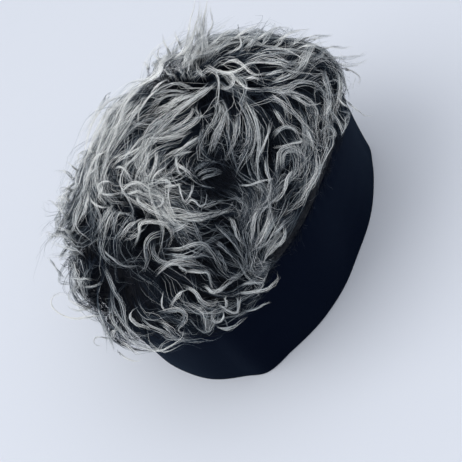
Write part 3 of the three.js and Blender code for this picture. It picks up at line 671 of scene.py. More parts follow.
drawnLocks = [  # size, tone over the usual, height over the pile in mm
    (1.2, 0.15, 8, [(189, 44), (178, 52), (160, 63), (142, 75), (131, 84), (120, 98), (111, 111)]),
    (1.0, 0.0, 2, [(176, 76), (184, 62), (190, 48), (194, 34)]),
    (1.0, -0.1, 2, [(186, 76), (192, 60), (197, 46), (199, 30)]),
    (1.0, -0.15, 1, [(196, 72), (200, 54), (201, 38), (203, 20)]),
    (1.0, -0.1, 2, [(206, 70), (204, 52), (203, 36), (206, 12)]),
    (0.9, 0.1, 3, [(184, 54), (188, 36), (190, 22), (195, 4), (196, -6)]),
    (0.8, 0.15, 4, [(192, 44), (196, 26), (199, 12), (200, -6)]),
    (0.8, 0.1, 4, [(204, 42), (203, 26), (206, 10), (208, -6)]),
    (0.8, 0.15, 4, [(160, 66), (172, 60), (182, 52), (188, 40), (192, 28), (196, 14)]),
    (0.8, 0.1, 4, [(166, 68), (178, 60), (187, 48), (193, 34), (198, 16), (200, 2)]),
    (0.8, -0.2, 3, [(190, 70), (196, 54), (199, 38), (201, 22), (202, 8)]),
    (0.8, -0.2, 3, [(200, 70), (202, 50), (202, 34), (204, 18)]),
    (0.8, -0.1, 3, [(210, 68), (207, 52), (205, 36), (206, 20), (209, 8)]),
    (0.7, 0.1, 4, [(196, 50), (197, 34), (200, 18), (203, 4)]),
    (0.7, 0.05, 4, [(200, 52), (200, 36), (203, 20), (206, 6)]),
    (0.7, 0.0, 4, [(186, 60), (191, 44), (195, 28), (198, 12)]),
    (0.5, 0.0, 4, [(205, 46), (209, 32), (213, 24), (211, 14), (209, 4)]),
    (0.4, 0.0, 4, [(181, 50), (180, 44), (176, 37), (174, 30)]),
    (0.4, -0.1, 3, [(172, 60), (168, 50), (164, 42), (162, 32)]),
    (0.4, -0.1, 3, [(162, 64), (158, 54), (160, 46)]),
    (0.6, -0.1, 3, [(164, 66), (157, 58), (152, 52)]),
    (0.6, -0.1, 3, [(150, 72), (146, 64), (142, 62)]),
    (1.2, -0.25, 3, [(208, 58), (212, 46), (220, 37), (230, 31), (238, 31)]),
    (1.2, -0.3, 2, [(212, 62), (218, 50), (226, 42), (236, 38)]),
    (0.4, 0.05, 5, [(238, 24), (238, 34), (241, 42), (239, 48), (232, 51), (224, 55)]),
    (0.9, -0.2, 3, [(240, 52), (250, 44), (258, 34), (262, 24)]),
    (0.9, -0.15, 3, [(254, 52), (264, 42), (272, 30), (276, 20)]),
    (0.9, -0.15, 3, [(270, 52), (280, 42), (288, 30), (290, 22)]),
    (0.8, -0.1, 3, [(284, 50), (296, 42), (306, 32), (310, 26)]),
    (0.5, 0.1, 3, [(172, 78), (162, 82), (154, 89), (149, 97)]),
    (1.1, -0.2, 1, [(199, 93), (190, 88), (180, 84), (170, 84), (160, 89), (152, 97)]),
    (1.0, -0.1, 1, [(196, 94), (183, 92), (170, 91), (158, 94), (148, 101)]),
    (1.0, -0.2, 0, [(194, 96), (181, 95), (168, 96), (156, 101), (146, 108)]),
    (1.0, -0.4, 0, [(186, 84), (183, 76), (180, 68), (176, 60)]),
    (1.0, -0.45, 0, [(194, 86), (191, 77), (188, 68), (186, 58)]),
    (1.0, -0.4, 0, [(176, 84), (172, 76), (167, 70), (160, 66)]),
    (0.8, -0.2, 1, [(190, 82), (193, 77), (197, 73), (202, 69)]),
    (1.0, -0.4, 0, [(206, 84), (203, 76), (198, 70), (196, 60)]),
    (0.7, 0.2, 9, [(180, 52), (164, 60), (150, 68), (138, 78), (128, 90)]),
    (0.6, 0.15, 6, [(152, 74), (142, 84), (133, 94), (124, 106), (118, 120)]),
    (0.6, 0.1, 8, [(228, 44), (238, 36), (250, 28), (262, 25)]),
    (0.6, 0.1, 8, [(248, 46), (262, 36), (276, 28), (290, 27)]),
    (0.6, 0.1, 8, [(268, 46), (282, 38), (296, 31), (312, 30)]),
    (0.5, 0.15, 8, [(290, 52), (304, 46), (318, 44), (332, 40)]),
    (0.5, 0.1, 3, [(118, 143), (104, 152), (95, 158), (89, 172), (85, 182)]),
    (0.3, 0.15, 4, [(80, 172), (73, 167), (66, 161)]),
    (0.4, 0.15, 4, [(97, 155), (91, 151), (84, 147)]),
    (0.3, 0.1, 3, [(118, 193), (117, 187), (110, 182), (102, 182), (98, 187), (101, 193),
                   (110, 195)]),
    (0.8, -0.1, 1, [(122, 206), (112, 214), (107, 225), (104, 240)]),
    (0.8, -0.15, 1, [(124, 207), (115, 219), (112, 236)]),
    (0.9, -0.1, 1, [(146, 217), (131, 225), (123, 235), (116, 243)]),
    (0.9, -0.15, 0, [(146, 229), (133, 236), (121, 241)]),
    (0.7, 0.0, 4, [(90, 262), (80, 252), (68, 248), (56, 244), (47, 238)]),
    (0.7, 0.0, 4, [(86, 256), (72, 254), (60, 255), (46, 256)]),
    (0.6, 0.0, 5, [(80, 246), (66, 238), (56, 235), (46, 235)]),
    (0.6, 0.0, 5, [(76, 236), (64, 230), (54, 228)]),
    (0.5, 0.05, 5, [(74, 222), (64, 214), (58, 207), (52, 202), (45, 201)]),
    (0.5, -0.05, 4, [(74, 204), (64, 198), (56, 197)]),
    (0.5, -0.05, 4, [(74, 192), (66, 188), (58, 190)]),
    (0.5, -0.05, 4, [(74, 180), (66, 172), (60, 171), (52, 171)]),
    (0.6, -0.1, 4, [(64, 278), (58, 271), (52, 262), (46, 256)]),
    (0.4, 0.05, 3, [(98, 281), (88, 279), (78, 279), (66, 277)]),
    (0.4, 0.0, 2, [(106, 280), (94, 286), (82, 287)]),
    (1.0, 0.1, 4, [(292, 74), (299, 67), (304, 58), (308, 49), (313, 41)]),
    (0.8, 0.1, 4, [(298, 76), (305, 64), (309, 54), (314, 45), (320, 39)]),
    (0.5, 0.0, 6, [(296, 44), (306, 38), (318, 35), (336, 36)]),
    (0.5, 0.1, 6, [(316, 50), (332, 47), (344, 48), (354, 46)]),
    (0.5, 0.1, 5, [(338, 68), (352, 71), (360, 78), (358, 86)]),
    (0.4, 0.1, 5, [(344, 98), (352, 106), (360, 112), (366, 116), (374, 115)]),
    (0.6, 0.1, 3, [(330, 97), (331, 104), (327, 112), (324, 119)]),
    (0.7, 0.05, 2, [(260, 62), (272, 63), (282, 64), (289, 69), (296, 72)]),
    (0.6, 0.0, 2, [(262, 76), (274, 73), (286, 71)]),
    (0.5, -0.05, 1, [(302, 124), (308, 132), (312, 142), (314, 152)]),
    (0.4, 0.1, 3, [(243, 82), (248, 78), (256, 78), (260, 82)]),
    (0.5, 0.05, 3, [(218, 80), (226, 74), (233, 76), (232, 84), (226, 88), (220, 86)]),
    (1.0, 0.05, 6, [(147, 78), (134, 88), (123, 102), (115, 115), (107, 129)]),
    (1.2, 0.05, 2, [(155, 86), (146, 96), (139, 107), (127, 119), (112, 129), (104, 135),
                    (102, 142)]),
    (0.5, 0.1, 3, [(172, 81), (162, 87), (150, 96), (142, 107), (138, 115), (139, 129)]),
    (1.3, 0.0, 1, [(199, 92), (185, 96), (167, 106), (155, 112), (147, 117)]),
    (1.8, 0.1, 2, [(219, 79), (212, 85), (205, 91), (196, 98), (184, 106), (170, 115), (158, 124),
                   (149, 136)]),
    (1.0, 0.1, 3, [(220, 80), (213, 86), (206, 91), (198, 96), (188, 102), (177, 110)]),
    (1.0, 0.1, 2, [(202, 94), (190, 96), (178, 99), (165, 107), (152, 115)]),
    (1.0, 0.0, 1, [(201, 97), (196, 106), (199, 115), (195, 122), (186, 128), (176, 133),
                   (163, 138), (150, 139)]),
    (0.8, 0.0, 1, [(198, 99), (194, 109), (189, 118), (178, 126), (166, 133), (154, 136)]),
    (0.8, 0.1, 2, [(196, 128), (180, 136), (163, 139), (150, 139), (145, 143), (140, 151)]),
    (0.8, 0.05, 1, [(150, 138), (141, 147), (130, 154), (119, 158), (110, 160)]),
    (0.8, 0.0, 1, [(148, 141), (141, 150), (135, 158), (125, 165), (113, 171)]),
    (0.6, 0.05, 1, [(149, 142), (148, 155), (146, 165), (141, 172), (133, 176)]),
    (0.7, 0.05, 1, [(151, 143), (156, 152), (156, 161), (152, 172), (147, 179), (140, 183)]),
    (0.6, 0.05, 2, [(208, 132), (198, 138), (188, 144), (181, 149), (172, 153), (157, 158)]),
    (0.5, -0.1, 1, [(198, 151), (188, 152), (178, 155), (168, 158)]),
    (0.5, 0.15, 3, [(171, 160), (178, 165), (187, 171), (194, 178)]),
    (0.4, 0.05, 3, [(178, 150), (176, 160), (178, 170), (184, 178)]),
    (0.4, 0.05, 2, [(171, 160), (166, 167), (158, 172), (153, 179), (152, 190)]),
    (0.7, -0.1, 3, [(193, 179), (196, 170), (204, 164), (213, 164), (220, 168)]),
    (0.7, -0.1, 3, [(194, 180), (202, 173), (212, 170), (224, 171)]),
    (0.6, -0.2, 2, [(196, 181), (206, 177), (216, 174), (224, 172)]),
    (0.4, 0.05, 3, [(192, 180), (192, 190), (188, 198), (184, 203)]),
    (0.3, 0.0, 3, [(197, 184), (206, 187), (216, 189)]),
    (0.5, 0.15, 3, [(159, 189), (168, 186), (177, 185), (184, 183)]),
    (0.3, 0.1, 3, [(175, 179), (179, 186), (181, 195), (185, 203)]),
    (0.4, 0.05, 3, [(163, 191), (163, 200), (160, 206), (153, 208)]),
    (0.4, 0.05, 3, [(154, 186), (158, 181), (165, 180), (170, 184), (169, 191), (163, 194)]),
    (0.5, 0.15, 4, [(178, 205), (186, 203), (191, 199), (196, 201), (200, 206), (205, 203),
                    (206, 197), (205, 192)]),
    (0.6, 0.1, 3, [(121, 206), (121, 196), (124, 189), (131, 184), (139, 183), (146, 187),
                   (149, 194), (147, 201)]),
    (0.5, 0.15, 3, [(122, 194), (131, 193), (139, 191), (145, 195)]),
    (1.2, 0.15, 2, [(134, 195), (141, 203), (150, 209), (162, 214), (176, 215)]),
    (0.5, 0.1, 3, [(139, 192), (137, 199), (142, 205), (150, 206)]),
    (0.5, 0.1, 2, [(112, 172), (118, 167), (124, 169), (129, 176), (132, 180)]),
    (1.6, 0.1, 2, [(150, 214), (170, 216), (190, 215), (206, 213), (220, 212), (229, 207),
                   (235, 198)]),
    (0.8, 0.1, 2, [(172, 218), (186, 219), (200, 219), (216, 214), (228, 210), (240, 207)]),
    (0.7, 0.0, 1, [(196, 209), (207, 206), (217, 202), (226, 201)]),
    (1.2, -0.1, 0, [(206, 98), (216, 103), (219, 111), (214, 121), (206, 132), (196, 140)]),
    (0.9, -0.05, 1, [(212, 98), (222, 103), (226, 111), (222, 122), (216, 133), (212, 146),
                     (209, 158)]),
    (0.7, -0.1, 0, [(226, 108), (224, 120), (219, 134), (215, 146), (210, 156)]),
    (0.8, -0.1, 0, [(232, 110), (235, 125), (234, 138), (230, 152), (226, 164)]),
    (0.7, -0.1, 0, [(236, 104), (239, 116), (239, 128), (236, 141), (228, 153)]),
    (0.7, -0.1, 0, [(242, 108), (246, 121), (248, 133), (246, 143), (238, 154)]),
    (1.5, 0.1, 2, [(226, 90), (237, 97), (245, 107), (250, 118), (254, 131), (253, 143), (249, 153),
                   (242, 164), (235, 174)]),
    (0.6, 0.1, 2, [(234, 90), (247, 101), (254, 114), (258, 128), (259, 142), (258, 156),
                   (257, 170), (258, 186), (259, 200)]),
    (0.8, 0.0, 1, [(252, 140), (246, 151), (239, 164), (233, 178)]),
    (0.5, 0.1, 2, [(276, 114), (271, 122), (269, 132), (266, 141), (262, 150), (258, 160),
                   (255, 170)]),
    (0.9, 0.0, 1, [(264, 90), (274, 98), (282, 103), (286, 110), (289, 118), (289, 126)]),
    (0.6, 0.0, 1, [(272, 106), (277, 114), (281, 121), (285, 128)]),
    (0.7, 0.1, 2, [(270, 145), (273, 137), (279, 130), (287, 127), (294, 129), (299, 133),
                   (304, 137)]),
    (0.5, 0.05, 2, [(295, 130), (297, 136), (302, 141), (292, 143), (282, 146), (272, 148)]),
    (0.6, 0.05, 2, [(270, 149), (266, 156), (266, 168), (269, 180), (270, 190), (267, 198),
                    (261, 205)]),
    (0.8, 0.05, 2, [(276, 184), (278, 172), (279, 160), (280, 152), (285, 148), (292, 147),
                    (299, 151), (306, 158), (307, 167)]),
    (0.6, 0.0, 1, [(282, 178), (283, 165), (284, 155), (289, 151), (296, 152), (301, 158),
                   (303, 168)]),
    (0.6, 0.15, 3, [(305, 171), (298, 171), (291, 174), (287, 180), (286, 188), (281, 196),
                    (274, 202), (266, 205)]),
    (0.3, 0.15, 4, [(231, 186), (240, 185), (250, 185), (258, 182), (266, 180), (276, 178)]),
    (0.7, 0.15, 2, [(133, 258), (132, 251), (137, 242), (140, 232), (139, 225), (145, 222),
                    (154, 222), (163, 223), (169, 227), (172, 232), (173, 239), (170, 246),
                    (164, 250)]),
    (0.5, 0.15, 3, [(192, 220), (183, 226), (176, 230), (171, 232)]),
    (1.1, -0.15, 0, [(172, 232), (161, 233), (152, 236), (147, 243), (146, 252), (148, 262),
                     (144, 270), (137, 275)]),
    (0.6, 0.1, 2, [(158, 250), (170, 249), (181, 249), (191, 245), (200, 243), (206, 245),
                   (212, 252), (217, 260), (221, 269), (226, 277)]),
    (0.8, 0.0, 1, [(152, 281), (157, 273), (165, 266), (173, 262), (183, 260), (193, 261),
                   (202, 266)]),
    (0.7, 0.0, 1, [(160, 255), (172, 255), (184, 257), (195, 257), (204, 255), (212, 252)]),
    (0.6, 0.15, 3, [(179, 270), (190, 271), (200, 272), (207, 272), (210, 278), (211, 286),
                    (215, 291), (220, 290)]),
    (0.5, 0.1, 3, [(176, 263), (181, 268), (186, 271), (184, 275)]),
    (0.7, 0.15, 3, [(196, 289), (203, 285), (208, 288), (213, 292), (221, 289), (228, 283),
                    (236, 277), (242, 271)]),
    (0.7, 0.0, 1, [(178, 284), (188, 288), (196, 293), (202, 301), (208, 304), (215, 303),
                   (220, 296)]),
    (0.8, 0.0, 1, [(213, 217), (216, 226), (224, 234), (233, 244), (240, 254), (245, 263)]),
    (0.8, -0.05, 1, [(224, 214), (231, 219), (235, 229), (239, 240), (244, 251)]),
    (0.7, -0.05, 1, [(204, 237), (214, 240), (224, 248), (234, 258), (243, 268)]),
    (0.7, 0.0, 1, [(214, 244), (218, 254), (224, 263), (228, 273)]),
    (0.6, 0.05, 2, [(270, 206), (262, 208), (256, 215), (253, 225), (252, 235), (248, 246)]),
    (1.0, 0.05, 1, [(274, 206), (269, 216), (265, 228), (260, 240), (252, 251)]),
    (0.8, 0.0, 1, [(281, 206), (276, 216), (270, 228), (263, 242), (256, 253)]),
    (0.6, 0.05, 1, [(291, 216), (285, 225), (285, 235), (281, 243), (273, 249), (267, 256),
                    (261, 262), (254, 262)]),
    (0.4, 0.1, 2, [(288, 222), (279, 230), (271, 237)]),
    (0.7, 0.15, 3, [(228, 292), (244, 293), (258, 291), (268, 289), (274, 284), (278, 278),
                    (277, 271)]),
    (0.7, 0.05, 2, [(234, 289), (246, 284), (258, 283), (263, 286), (254, 289)]),
    (0.4, 0.1, 3, [(215, 310), (221, 310), (224, 315), (221, 321), (215, 322), (212, 317),
                   (215, 312)]),
    (0.5, 0.1, 3, [(214, 299), (220, 306), (229, 312), (236, 313), (240, 305), (241, 295)]),
    (0.5, 0.1, 2, [(222, 293), (226, 300), (226, 307), (220, 308)]),
    (0.5, 0.05, 2, [(234, 292), (238, 300), (238, 309), (237, 318)]),
    (0.7, 0.1, 2, [(212, 320), (218, 327), (226, 329), (235, 326), (242, 320), (248, 317)]),
    (0.6, 0.05, 2, [(235, 313), (248, 311), (258, 308), (265, 304), (272, 301)]),
    (1.3, -0.05, 1, [(178, 304), (190, 306), (200, 310), (204, 319), (205, 329), (209, 333),
                     (213, 327), (214, 317), (219, 310)]),
    (1.1, 0.1, 2, [(150, 319), (160, 314), (170, 311), (180, 310), (185, 316), (182, 323),
                   (176, 328), (179, 333), (190, 334), (198, 333)]),
    (1.3, -0.1, 1, [(156, 322), (166, 326), (174, 334), (178, 341)]),
    (0.3, 0.1, 3, [(165, 289), (162, 298), (162, 306), (166, 312)]),
    (0.5, 0.15, 3, [(191, 288), (182, 292), (176, 298), (172, 305), (171, 312)]),
    (0.5, 0.1, 3, [(141, 338), (144, 345), (150, 350), (160, 351), (169, 347), (178, 342),
                   (183, 337), (183, 328)]),
    (1.2, 0.1, 5, [(112, 92), (107, 97), (98, 111), (90, 123), (84, 137)]),
    (1.1, 0.1, 5, [(113, 103), (107, 111), (100, 123), (94, 135), (90, 147)]),
    (1.3, 0.0, 2, [(96, 150), (91, 166), (87, 175), (85, 188), (83, 209)]),
    (0.8, 0.05, 3, [(107, 167), (96, 169), (88, 175), (84, 188)]),
    (0.6, 0.05, 3, [(91, 190), (96, 185), (102, 188), (99, 196), (107, 206)]),
    (0.6, 0.1, 3, [(190, 72), (197, 66), (206, 65), (213, 69), (219, 72), (230, 73), (240, 70),
                   (245, 66), (251, 63), (266, 63), (280, 65), (289, 70)]),
    (0.8, 0.15, 4, [(216, 71), (219, 68), (227, 62), (234, 61), (242, 65), (249, 72), (257, 75),
                    (269, 74)]),
    (0.5, 0.1, 3, [(231, 74), (234, 77), (241, 84), (249, 89), (256, 89)]),
    (1.4, 0.05, 3, [(262, 84), (276, 81), (289, 76), (298, 70), (305, 60), (308, 49)]),
    (1.6, 0.05, 2, [(262, 86), (274, 90), (287, 89), (294, 84), (305, 82), (315, 85), (326, 88)]),
    (0.8, 0.0, 1, [(284, 92), (297, 98), (307, 104), (317, 104), (323, 101)]),
    (1.0, 0.05, 2, [(322, 60), (324, 74), (328, 86), (330, 99), (325, 109), (320, 120)]),
    (1.0, 0.05, 2, [(330, 64), (339, 75), (340, 89), (338, 102), (334, 112), (333, 122)]),
    (1.1, 0.05, 1, [(312, 137), (317, 154), (319, 165), (315, 178), (307, 191), (302, 201),
                    (289, 211), (279, 219)]),
    (0.8, 0.0, 7, [(305, 42), (321, 37), (334, 35)]),
    (0.9, 0.1, 6, [(322, 60), (336, 57), (347, 58), (359, 56), (368, 52)]),
    (0.9, 0.1, 6, [(330, 66), (340, 65), (359, 63), (369, 58)]),
    (0.6, 0.1, 4, [(336, 96), (343, 103), (352, 109)]),
    (0.9, 0.0, 1, [(320, 141), (328, 139), (335, 135), (331, 127), (325, 128), (317, 137)]),
    (1.2, 0.0, 2, [(88, 180), (87, 197), (84, 211), (78, 222), (78, 231)]),
    (1.0, 0.0, 2, [(82, 180), (81, 198), (75, 216), (77, 229), (88, 239), (94, 243)]),
    (0.4, 0.05, 3, [(91, 191), (92, 201), (102, 207), (112, 205)]),
    (0.4, 0.05, 3, [(98, 184), (102, 193), (110, 195), (122, 193)]),
    (1.2, -0.15, 1, [(120, 205), (110, 208), (103, 218), (99, 229), (101, 240)]),
    (1.0, 0.05, 2, [(90, 249), (98, 259), (104, 267), (109, 278), (114, 291), (121, 302),
                    (123, 312), (126, 324), (133, 333), (142, 336), (151, 334), (159, 330)]),
    (0.5, 0.0, 2, [(93, 247), (103, 251), (112, 259), (120, 265), (128, 267), (137, 266)]),
    (0.8, 0.15, 3, [(143, 305), (133, 310), (130, 317), (137, 324), (151, 329), (158, 330)]),
    (1.1, 0.05, 3, [(60, 256), (71, 261), (75, 271), (81, 285), (85, 299), (88, 306)]),
    (0.5, 0.0, 2, [(120, 316), (95, 316), (75, 319), (60, 314), (52, 307), (51, 299), (57, 293),
                   (66, 294), (76, 298)]),
    (0.5, -0.05, 4, [(88, 300), (90, 306), (80, 311), (72, 309), (64, 304)]),
    (0.8, -0.1, 3, [(95, 300), (100, 315), (104, 330), (107, 345), (106, 354)]),
    (0.8, -0.1, 3, [(100, 318), (108, 335), (112, 345), (114, 355)]),
    (0.7, -0.05, 3, [(124, 322), (115, 330), (112, 340), (113, 350)]),
    (0.6, 0.0, 4, [(115, 340), (125, 344), (135, 352), (143, 356)]),
    (0.6, 0.0, 4, [(116, 350), (126, 358), (136, 361), (144, 359)]),
    (0.4, 0.1, 4, [(118, 338), (108, 338), (97, 337), (94, 342), (98, 346), (104, 344)]),
]


def smoothLine(points, count, spanSteps=12):  # evenly spaced places on a soft curve
    points = np.asarray(points, float)
    padded = np.concatenate([2 * points[:1] - points[1:2], points, 2 * points[-1:] - points[-2:-1]])
    fine = []
    for i in range(len(points) - 1):
        before, here, there, after = padded[i:i + 4]
        for t in np.linspace(0, 1, spanSteps, endpoint=False):
            fine.append(0.5 * (2 * here + (there - before) * t
                               + (2 * before - 5 * here + 4 * there - after) * t ** 2
                               + (3 * here - before - 3 * there + after) * t ** 3))
    fine = np.array(fine + [points[-1]])
    run = np.concatenate([[0], np.cumsum(np.linalg.norm(np.diff(fine, axis=0), axis=1))])
    at = np.linspace(0, run[-1], count)
    return np.stack([np.interp(at, run, fine[:, i]) for i in (0, 1)], -1)


def seenOnHat(pixels, lift):  # where the lines of sight first come that near to the cloth
    ways = sightLines(pixels)
    depth = np.linspace(sightSearch["near"], sightSearch["far"], sightSearch["samples"])
    depth = depth * camera["distance"]
    places = cameraPlace + depth[:, None, None] * ways[None]
    over = hatPlace(places)[2] - lift[None]
    inside = over < 0
    hit = np.where(inside.any(0), inside.argmax(0), over.argmin(0))
    hit = np.clip(hit, 1, len(depth) - 1)
    column = np.arange(len(ways))
    before, after = over[hit - 1, column], over[hit, column]
    part = np.where(inside.any(0), before / np.maximum(before - after, 1e-9), 1.0)
    deep = depth[hit - 1] + (depth[hit] - depth[hit - 1]) * np.clip(part, 0, 1)
    return cameraPlace + deep[:, None] * ways


def waysAt(azimuth, tilt):  # unit vectors down the fall line, round the hat, and out
    step = 0.5
    down = unit(capPoint(azimuth, tilt - step) - capPoint(azimuth, tilt + step))
    around = unit(capPoint(azimuth + step, tilt) - capPoint(azimuth - step, tilt))
    return down, around, unit(np.cross(down, around))


def headed(azimuth, tilt, heading):
    down, around, _ = waysAt(azimuth, tilt)
    turn = np.radians(heading)[:, None]
    return down * np.cos(turn) + around * np.sin(turn)


comb["place"] = capPoint(comb["azimuth"], comb["tilt"])
comb["way"] = headed(comb["azimuth"], comb["tilt"], comb["heading"])


def combWeights(points):
    apart = np.linalg.norm(points[:, None, :] - comb["place"][None], axis=-1)
    weight = np.exp(-(apart / furForm["combReach"]) ** 2) + 1e-6
    return weight / weight.sum(1, keepdims=True)


def scattered(name, draw):
    least, more = scatter[name]
    return least + more * draw


def combedLift(lift):
    return furForm["flatShare"] + (1 - furForm["flatShare"]) * lift


def pileHeight(points):
    return furForm["depth"] * combedLift(combWeights(points) @ comb["lift"])


def evenDepth(pixels, middle):  # the same line in the image, with no jumps towards the camera
    ways = sightLines(pixels)
    deep = ((middle - cameraPlace) * ways).sum(-1) / (ways * ways).sum(-1)
    for _ in range(furForm["depthPasses"]):
        deep[1:-1] = (deep[:-2] + 2 * deep[1:-1] + deep[2:]) / 4
    return cameraPlace + deep[:, None] * ways


def traceDrawn(steps=24):  # the middle line of each drawn lock, as places on top of the pile
    along = np.linspace(0, 1, steps + 1)
    rise = np.minimum(1, drawnLayer["rootRise"] + drawnLayer["riseRate"] * along)
    middles = []
    for over, path in zip(drawn["over"], drawn["path"]):
        seen = smoothLine(path, steps + 1)
        middle = seenOnHat(seen, furForm["depth"] + 0 * along)
        for _ in range(drawnLayer["settlePasses"]):
            height = pileHeight(onCloth(middle, 0.0)) + furForm["drawnOver"] + over * mm
            middle = seenOnHat(seen, np.maximum(height * rise, furForm["cloth"]))
        middles.append(evenDepth(seen, middle))
    return np.stack(middles)


drawn = {name: [row[i] for row in drawnLocks] for i, name in enumerate(drawnColumns)}
drawn["middle"] = traceDrawn()
felt = slice(1, None, drawnLayer["feltEvery"])
drawn["place"] = onCloth(drawn["middle"], 0.0)[:, felt].reshape(-1, 3)
drawn["way"] = unit(np.gradient(drawn["middle"], axis=1))[:, felt].reshape(-1, 3)


def combedWay(points):  # the way of the nearest drawn locks, and of the comb away from them
    way = combWeights(points) @ comb["way"]
    apart = np.linalg.norm(points[:, None, :] - drawn["place"][None], axis=-1)
    weight = np.exp(-(apart / furForm["drawnReach"]) ** 2)
    return unit(way) * furForm["combPull"] + weight @ drawn["way"]


def rotated(vectors, axis, angle):
    angle = np.asarray(angle)[..., None]
    along = axis * (vectors * axis).sum(-1, keepdims=True)
    return along + (vectors - along) * np.cos(angle) + np.cross(axis, vectors) * np.sin(angle)


def hemHeight(azimuth):
    return hat["bandHeight"] * (1 - roundTable(hemDrop, azimuth))


def keptLowAtHem(points):  # hairs lie closer to the cloth towards the edge of the fur
    azimuth, _, lift, _ = hatPlace(points)
    over = points[..., 2] - hemHeight(azimuth)
    limit = roundTable(hemLift, azimuth) * mm + furForm["hemSlope"] * np.maximum(over, 0)
    lift = np.where(lift > limit, limit + furForm["overHem"] * (lift - limit), lift)
    return onCloth(points, np.maximum(lift, furForm["cloth"]))


def endedAtHem(points, rng):  # each hair stops a little past the hem, at a place of its own
    steps = points.shape[1] - 1
    spare = furForm["fringe"] * rng.random((len(points), 1)) ** 2
    past = points[..., 2] < hemHeight(hatPlace(points)[0]) - spare
    past[:, 0] = False
    ends = np.where(past.any(1), past.argmax(1), steps)
    at = ends[:, None] / steps * np.arange(steps + 1)
    low = np.minimum(at.astype(int), steps - 1)
    part = (at - low)[..., None]
    hair = np.arange(len(points))[:, None]
    return points[hair, low] * (1 - part) + points[hair, low + 1] * part


def rootedAboveHem(points):
    root = points[:, 0]
    return root[:, 2] > hemHeight(hatPlace(root)[0])


def turnedAtHem(spot, way):  # a lock that comes down to the hem turns to run along it
    azimuth = hatPlace(spot)[0]
    hem = hemHeight(azimuth)
    room = np.clip((spot[:, 2] - hem) / furForm["hemTurn"], 0, 1)
    way = way.copy()
    way[:, 2] = np.where(way[:, 2] < 0, way[:, 2] * room, way[:, 2])
    return way


# Middle lines of many locks at once. A column of plan holds a number for each lock, or one for all.
def traceLocks(plan, kept, steps=20):
    spot = capPoint(plan["azimuth"], plan["tilt"])
    middles, sides, outs = [], [], []
    for step in range(steps + 1):
        along = step / steps
        out = outward(spot)
        way = combedWay(spot)
        way = rotated(way, out, plan["turn"] + plan["bend"] * along)
        way = turnedAtHem(spot, way) if kept else way
        way = unit(way - out * (way * out).sum(-1, keepdims=True))
        side = np.cross(out, way)
        swing = 2 * math.pi * plan["waves"] * along + plan["phase"]
        grown = min(1.0, 0.25 + along) * along ** 0.5
        sway = plan["wave"] * grown * (np.sin(swing) - np.sin(plan["phase"]))
        heave = furForm["heave"] * plan["wave"] * grown * np.cos(swing * 1.1)
        rise = plan["lift"] * math.sin(math.pi * min(0.5, 1.1 * along))
        height = plan["rootLift"] + rise + heave * along + plan["flick"] * along ** 3
        most = plan["most"] * pileHeight(spot)
        height = np.where(height > most, most + furForm["overMost"] * (height - most), height)
        middle = onCloth(spot + side * sway[:, None], height)
        middles.append(middle)
        sides.append(side)
        outs.append(out)
        spot = onCloth(spot + way * (plan["length"] / steps)[:, None], 0.0)
    return np.stack(middles, 1), np.stack(sides, 1), np.stack(outs, 1)


# Hairs round each lock's middle line: spread out at the root and gathered towards the tip.
def growHairs(traced, plan, layer, rng):
    middles, sides, outs = traced
    perLock, segments = layer["hairsPerLock"], layer["segments"]
    count = len(middles)
    steps = middles.shape[1] - 1
    along = np.linspace(0, 1, segments + 1)
    reach = 1 - layer["lengthSpread"] * rng.random((count, perLock)) ** 1.5
    start = layer["startSpread"] * rng.random((count, perLock))
    at = (start[..., None] + (reach - start)[..., None] * along) * steps
    low = np.minimum(at.astype(int), steps - 1)
    part = (at - low)[..., None]
    lock = np.arange(count)[:, None, None]

    def sampled(values):
        return values[lock, low] * (1 - part) + values[lock, low + 1] * part

    middle, side, out = sampled(middles), sampled(sides), sampled(outs)
    angle = 2 * math.pi * rng.random((count, perLock, 1))
    far = np.sqrt(rng.random((count, perLock, 1)))
    gather = (1 - along) ** layer["gather"]
    size = plan["size"][:, None, None]
    width = (layer["rootSpread"] * gather + layer["tipSpread"] * along ** 1.5) * size
    phase = 2 * math.pi * rng.random((count, perLock, 1))
    cycles = scattered("cycles", rng.random((count, perLock, 1)))
    stray = layer["stray"] * size * scattered("stray", rng.random((count, perLock, 1)) ** 4)
    wiggle = stray * along * np.sin(2 * math.pi * cycles * along + phase)
    heave = 0.7 * stray * along * np.cos(2 * math.pi * cycles * along + 1.7 * phase)
    cross = layer["cross"] * size * rng.normal(size=(2, count, perLock, 1)) * along ** 1.3
    sideways = width * far * np.cos(angle) + wiggle + cross[0]
    upwards = layer["thickness"] * (width * far * np.sin(angle) + cross[1]) + heave
    points = middle + side * sideways[..., None] + out * upwards[..., None]
    points = points.reshape(-1, segments + 1, 3)
    points[..., 2] = np.minimum(points[..., 2], furForm["highest"])
    if layer["kept"]:
        points = keptLowAtHem(endedAtHem(points, rng))
    return points, along


# Patches of the fur's own tone mixed with painted shade in hollows and away from the light, and
# painted light on the lit side.
def patchToneAndShade(points):
    azimuth, tilt, _, _ = hatPlace(points)
    total = np.zeros(tilt.shape)
    for patchAzimuth, patchTilt, span, amount in toneAndShadePatches:
        turn = angleBetween(azimuth, patchAzimuth) * np.cos(np.radians(np.clip(tilt, 0, 90)))
        total += amount * np.exp(-(np.hypot(turn, tilt - patchTilt) / span) ** 2)
    return total


def pileDepthPaintedShade(points):  # painted shade: fibre is painted darker deep in the pile, where shade falls, and lighter towards the pile's top
    lift = hatPlace(points)[2]
    share = lift / pileHeight(points.reshape(-1, 3)).reshape(lift.shape)
    rise = np.clip((share - furForm["paintedShadeBelow"]) / (1 - furForm["paintedShadeBelow"]), 0, 1)
    return furForm["deepestPaintedShade"] + (1 - furForm["deepestPaintedShade"]) * rise ** 2 * (3 - 2 * rise)


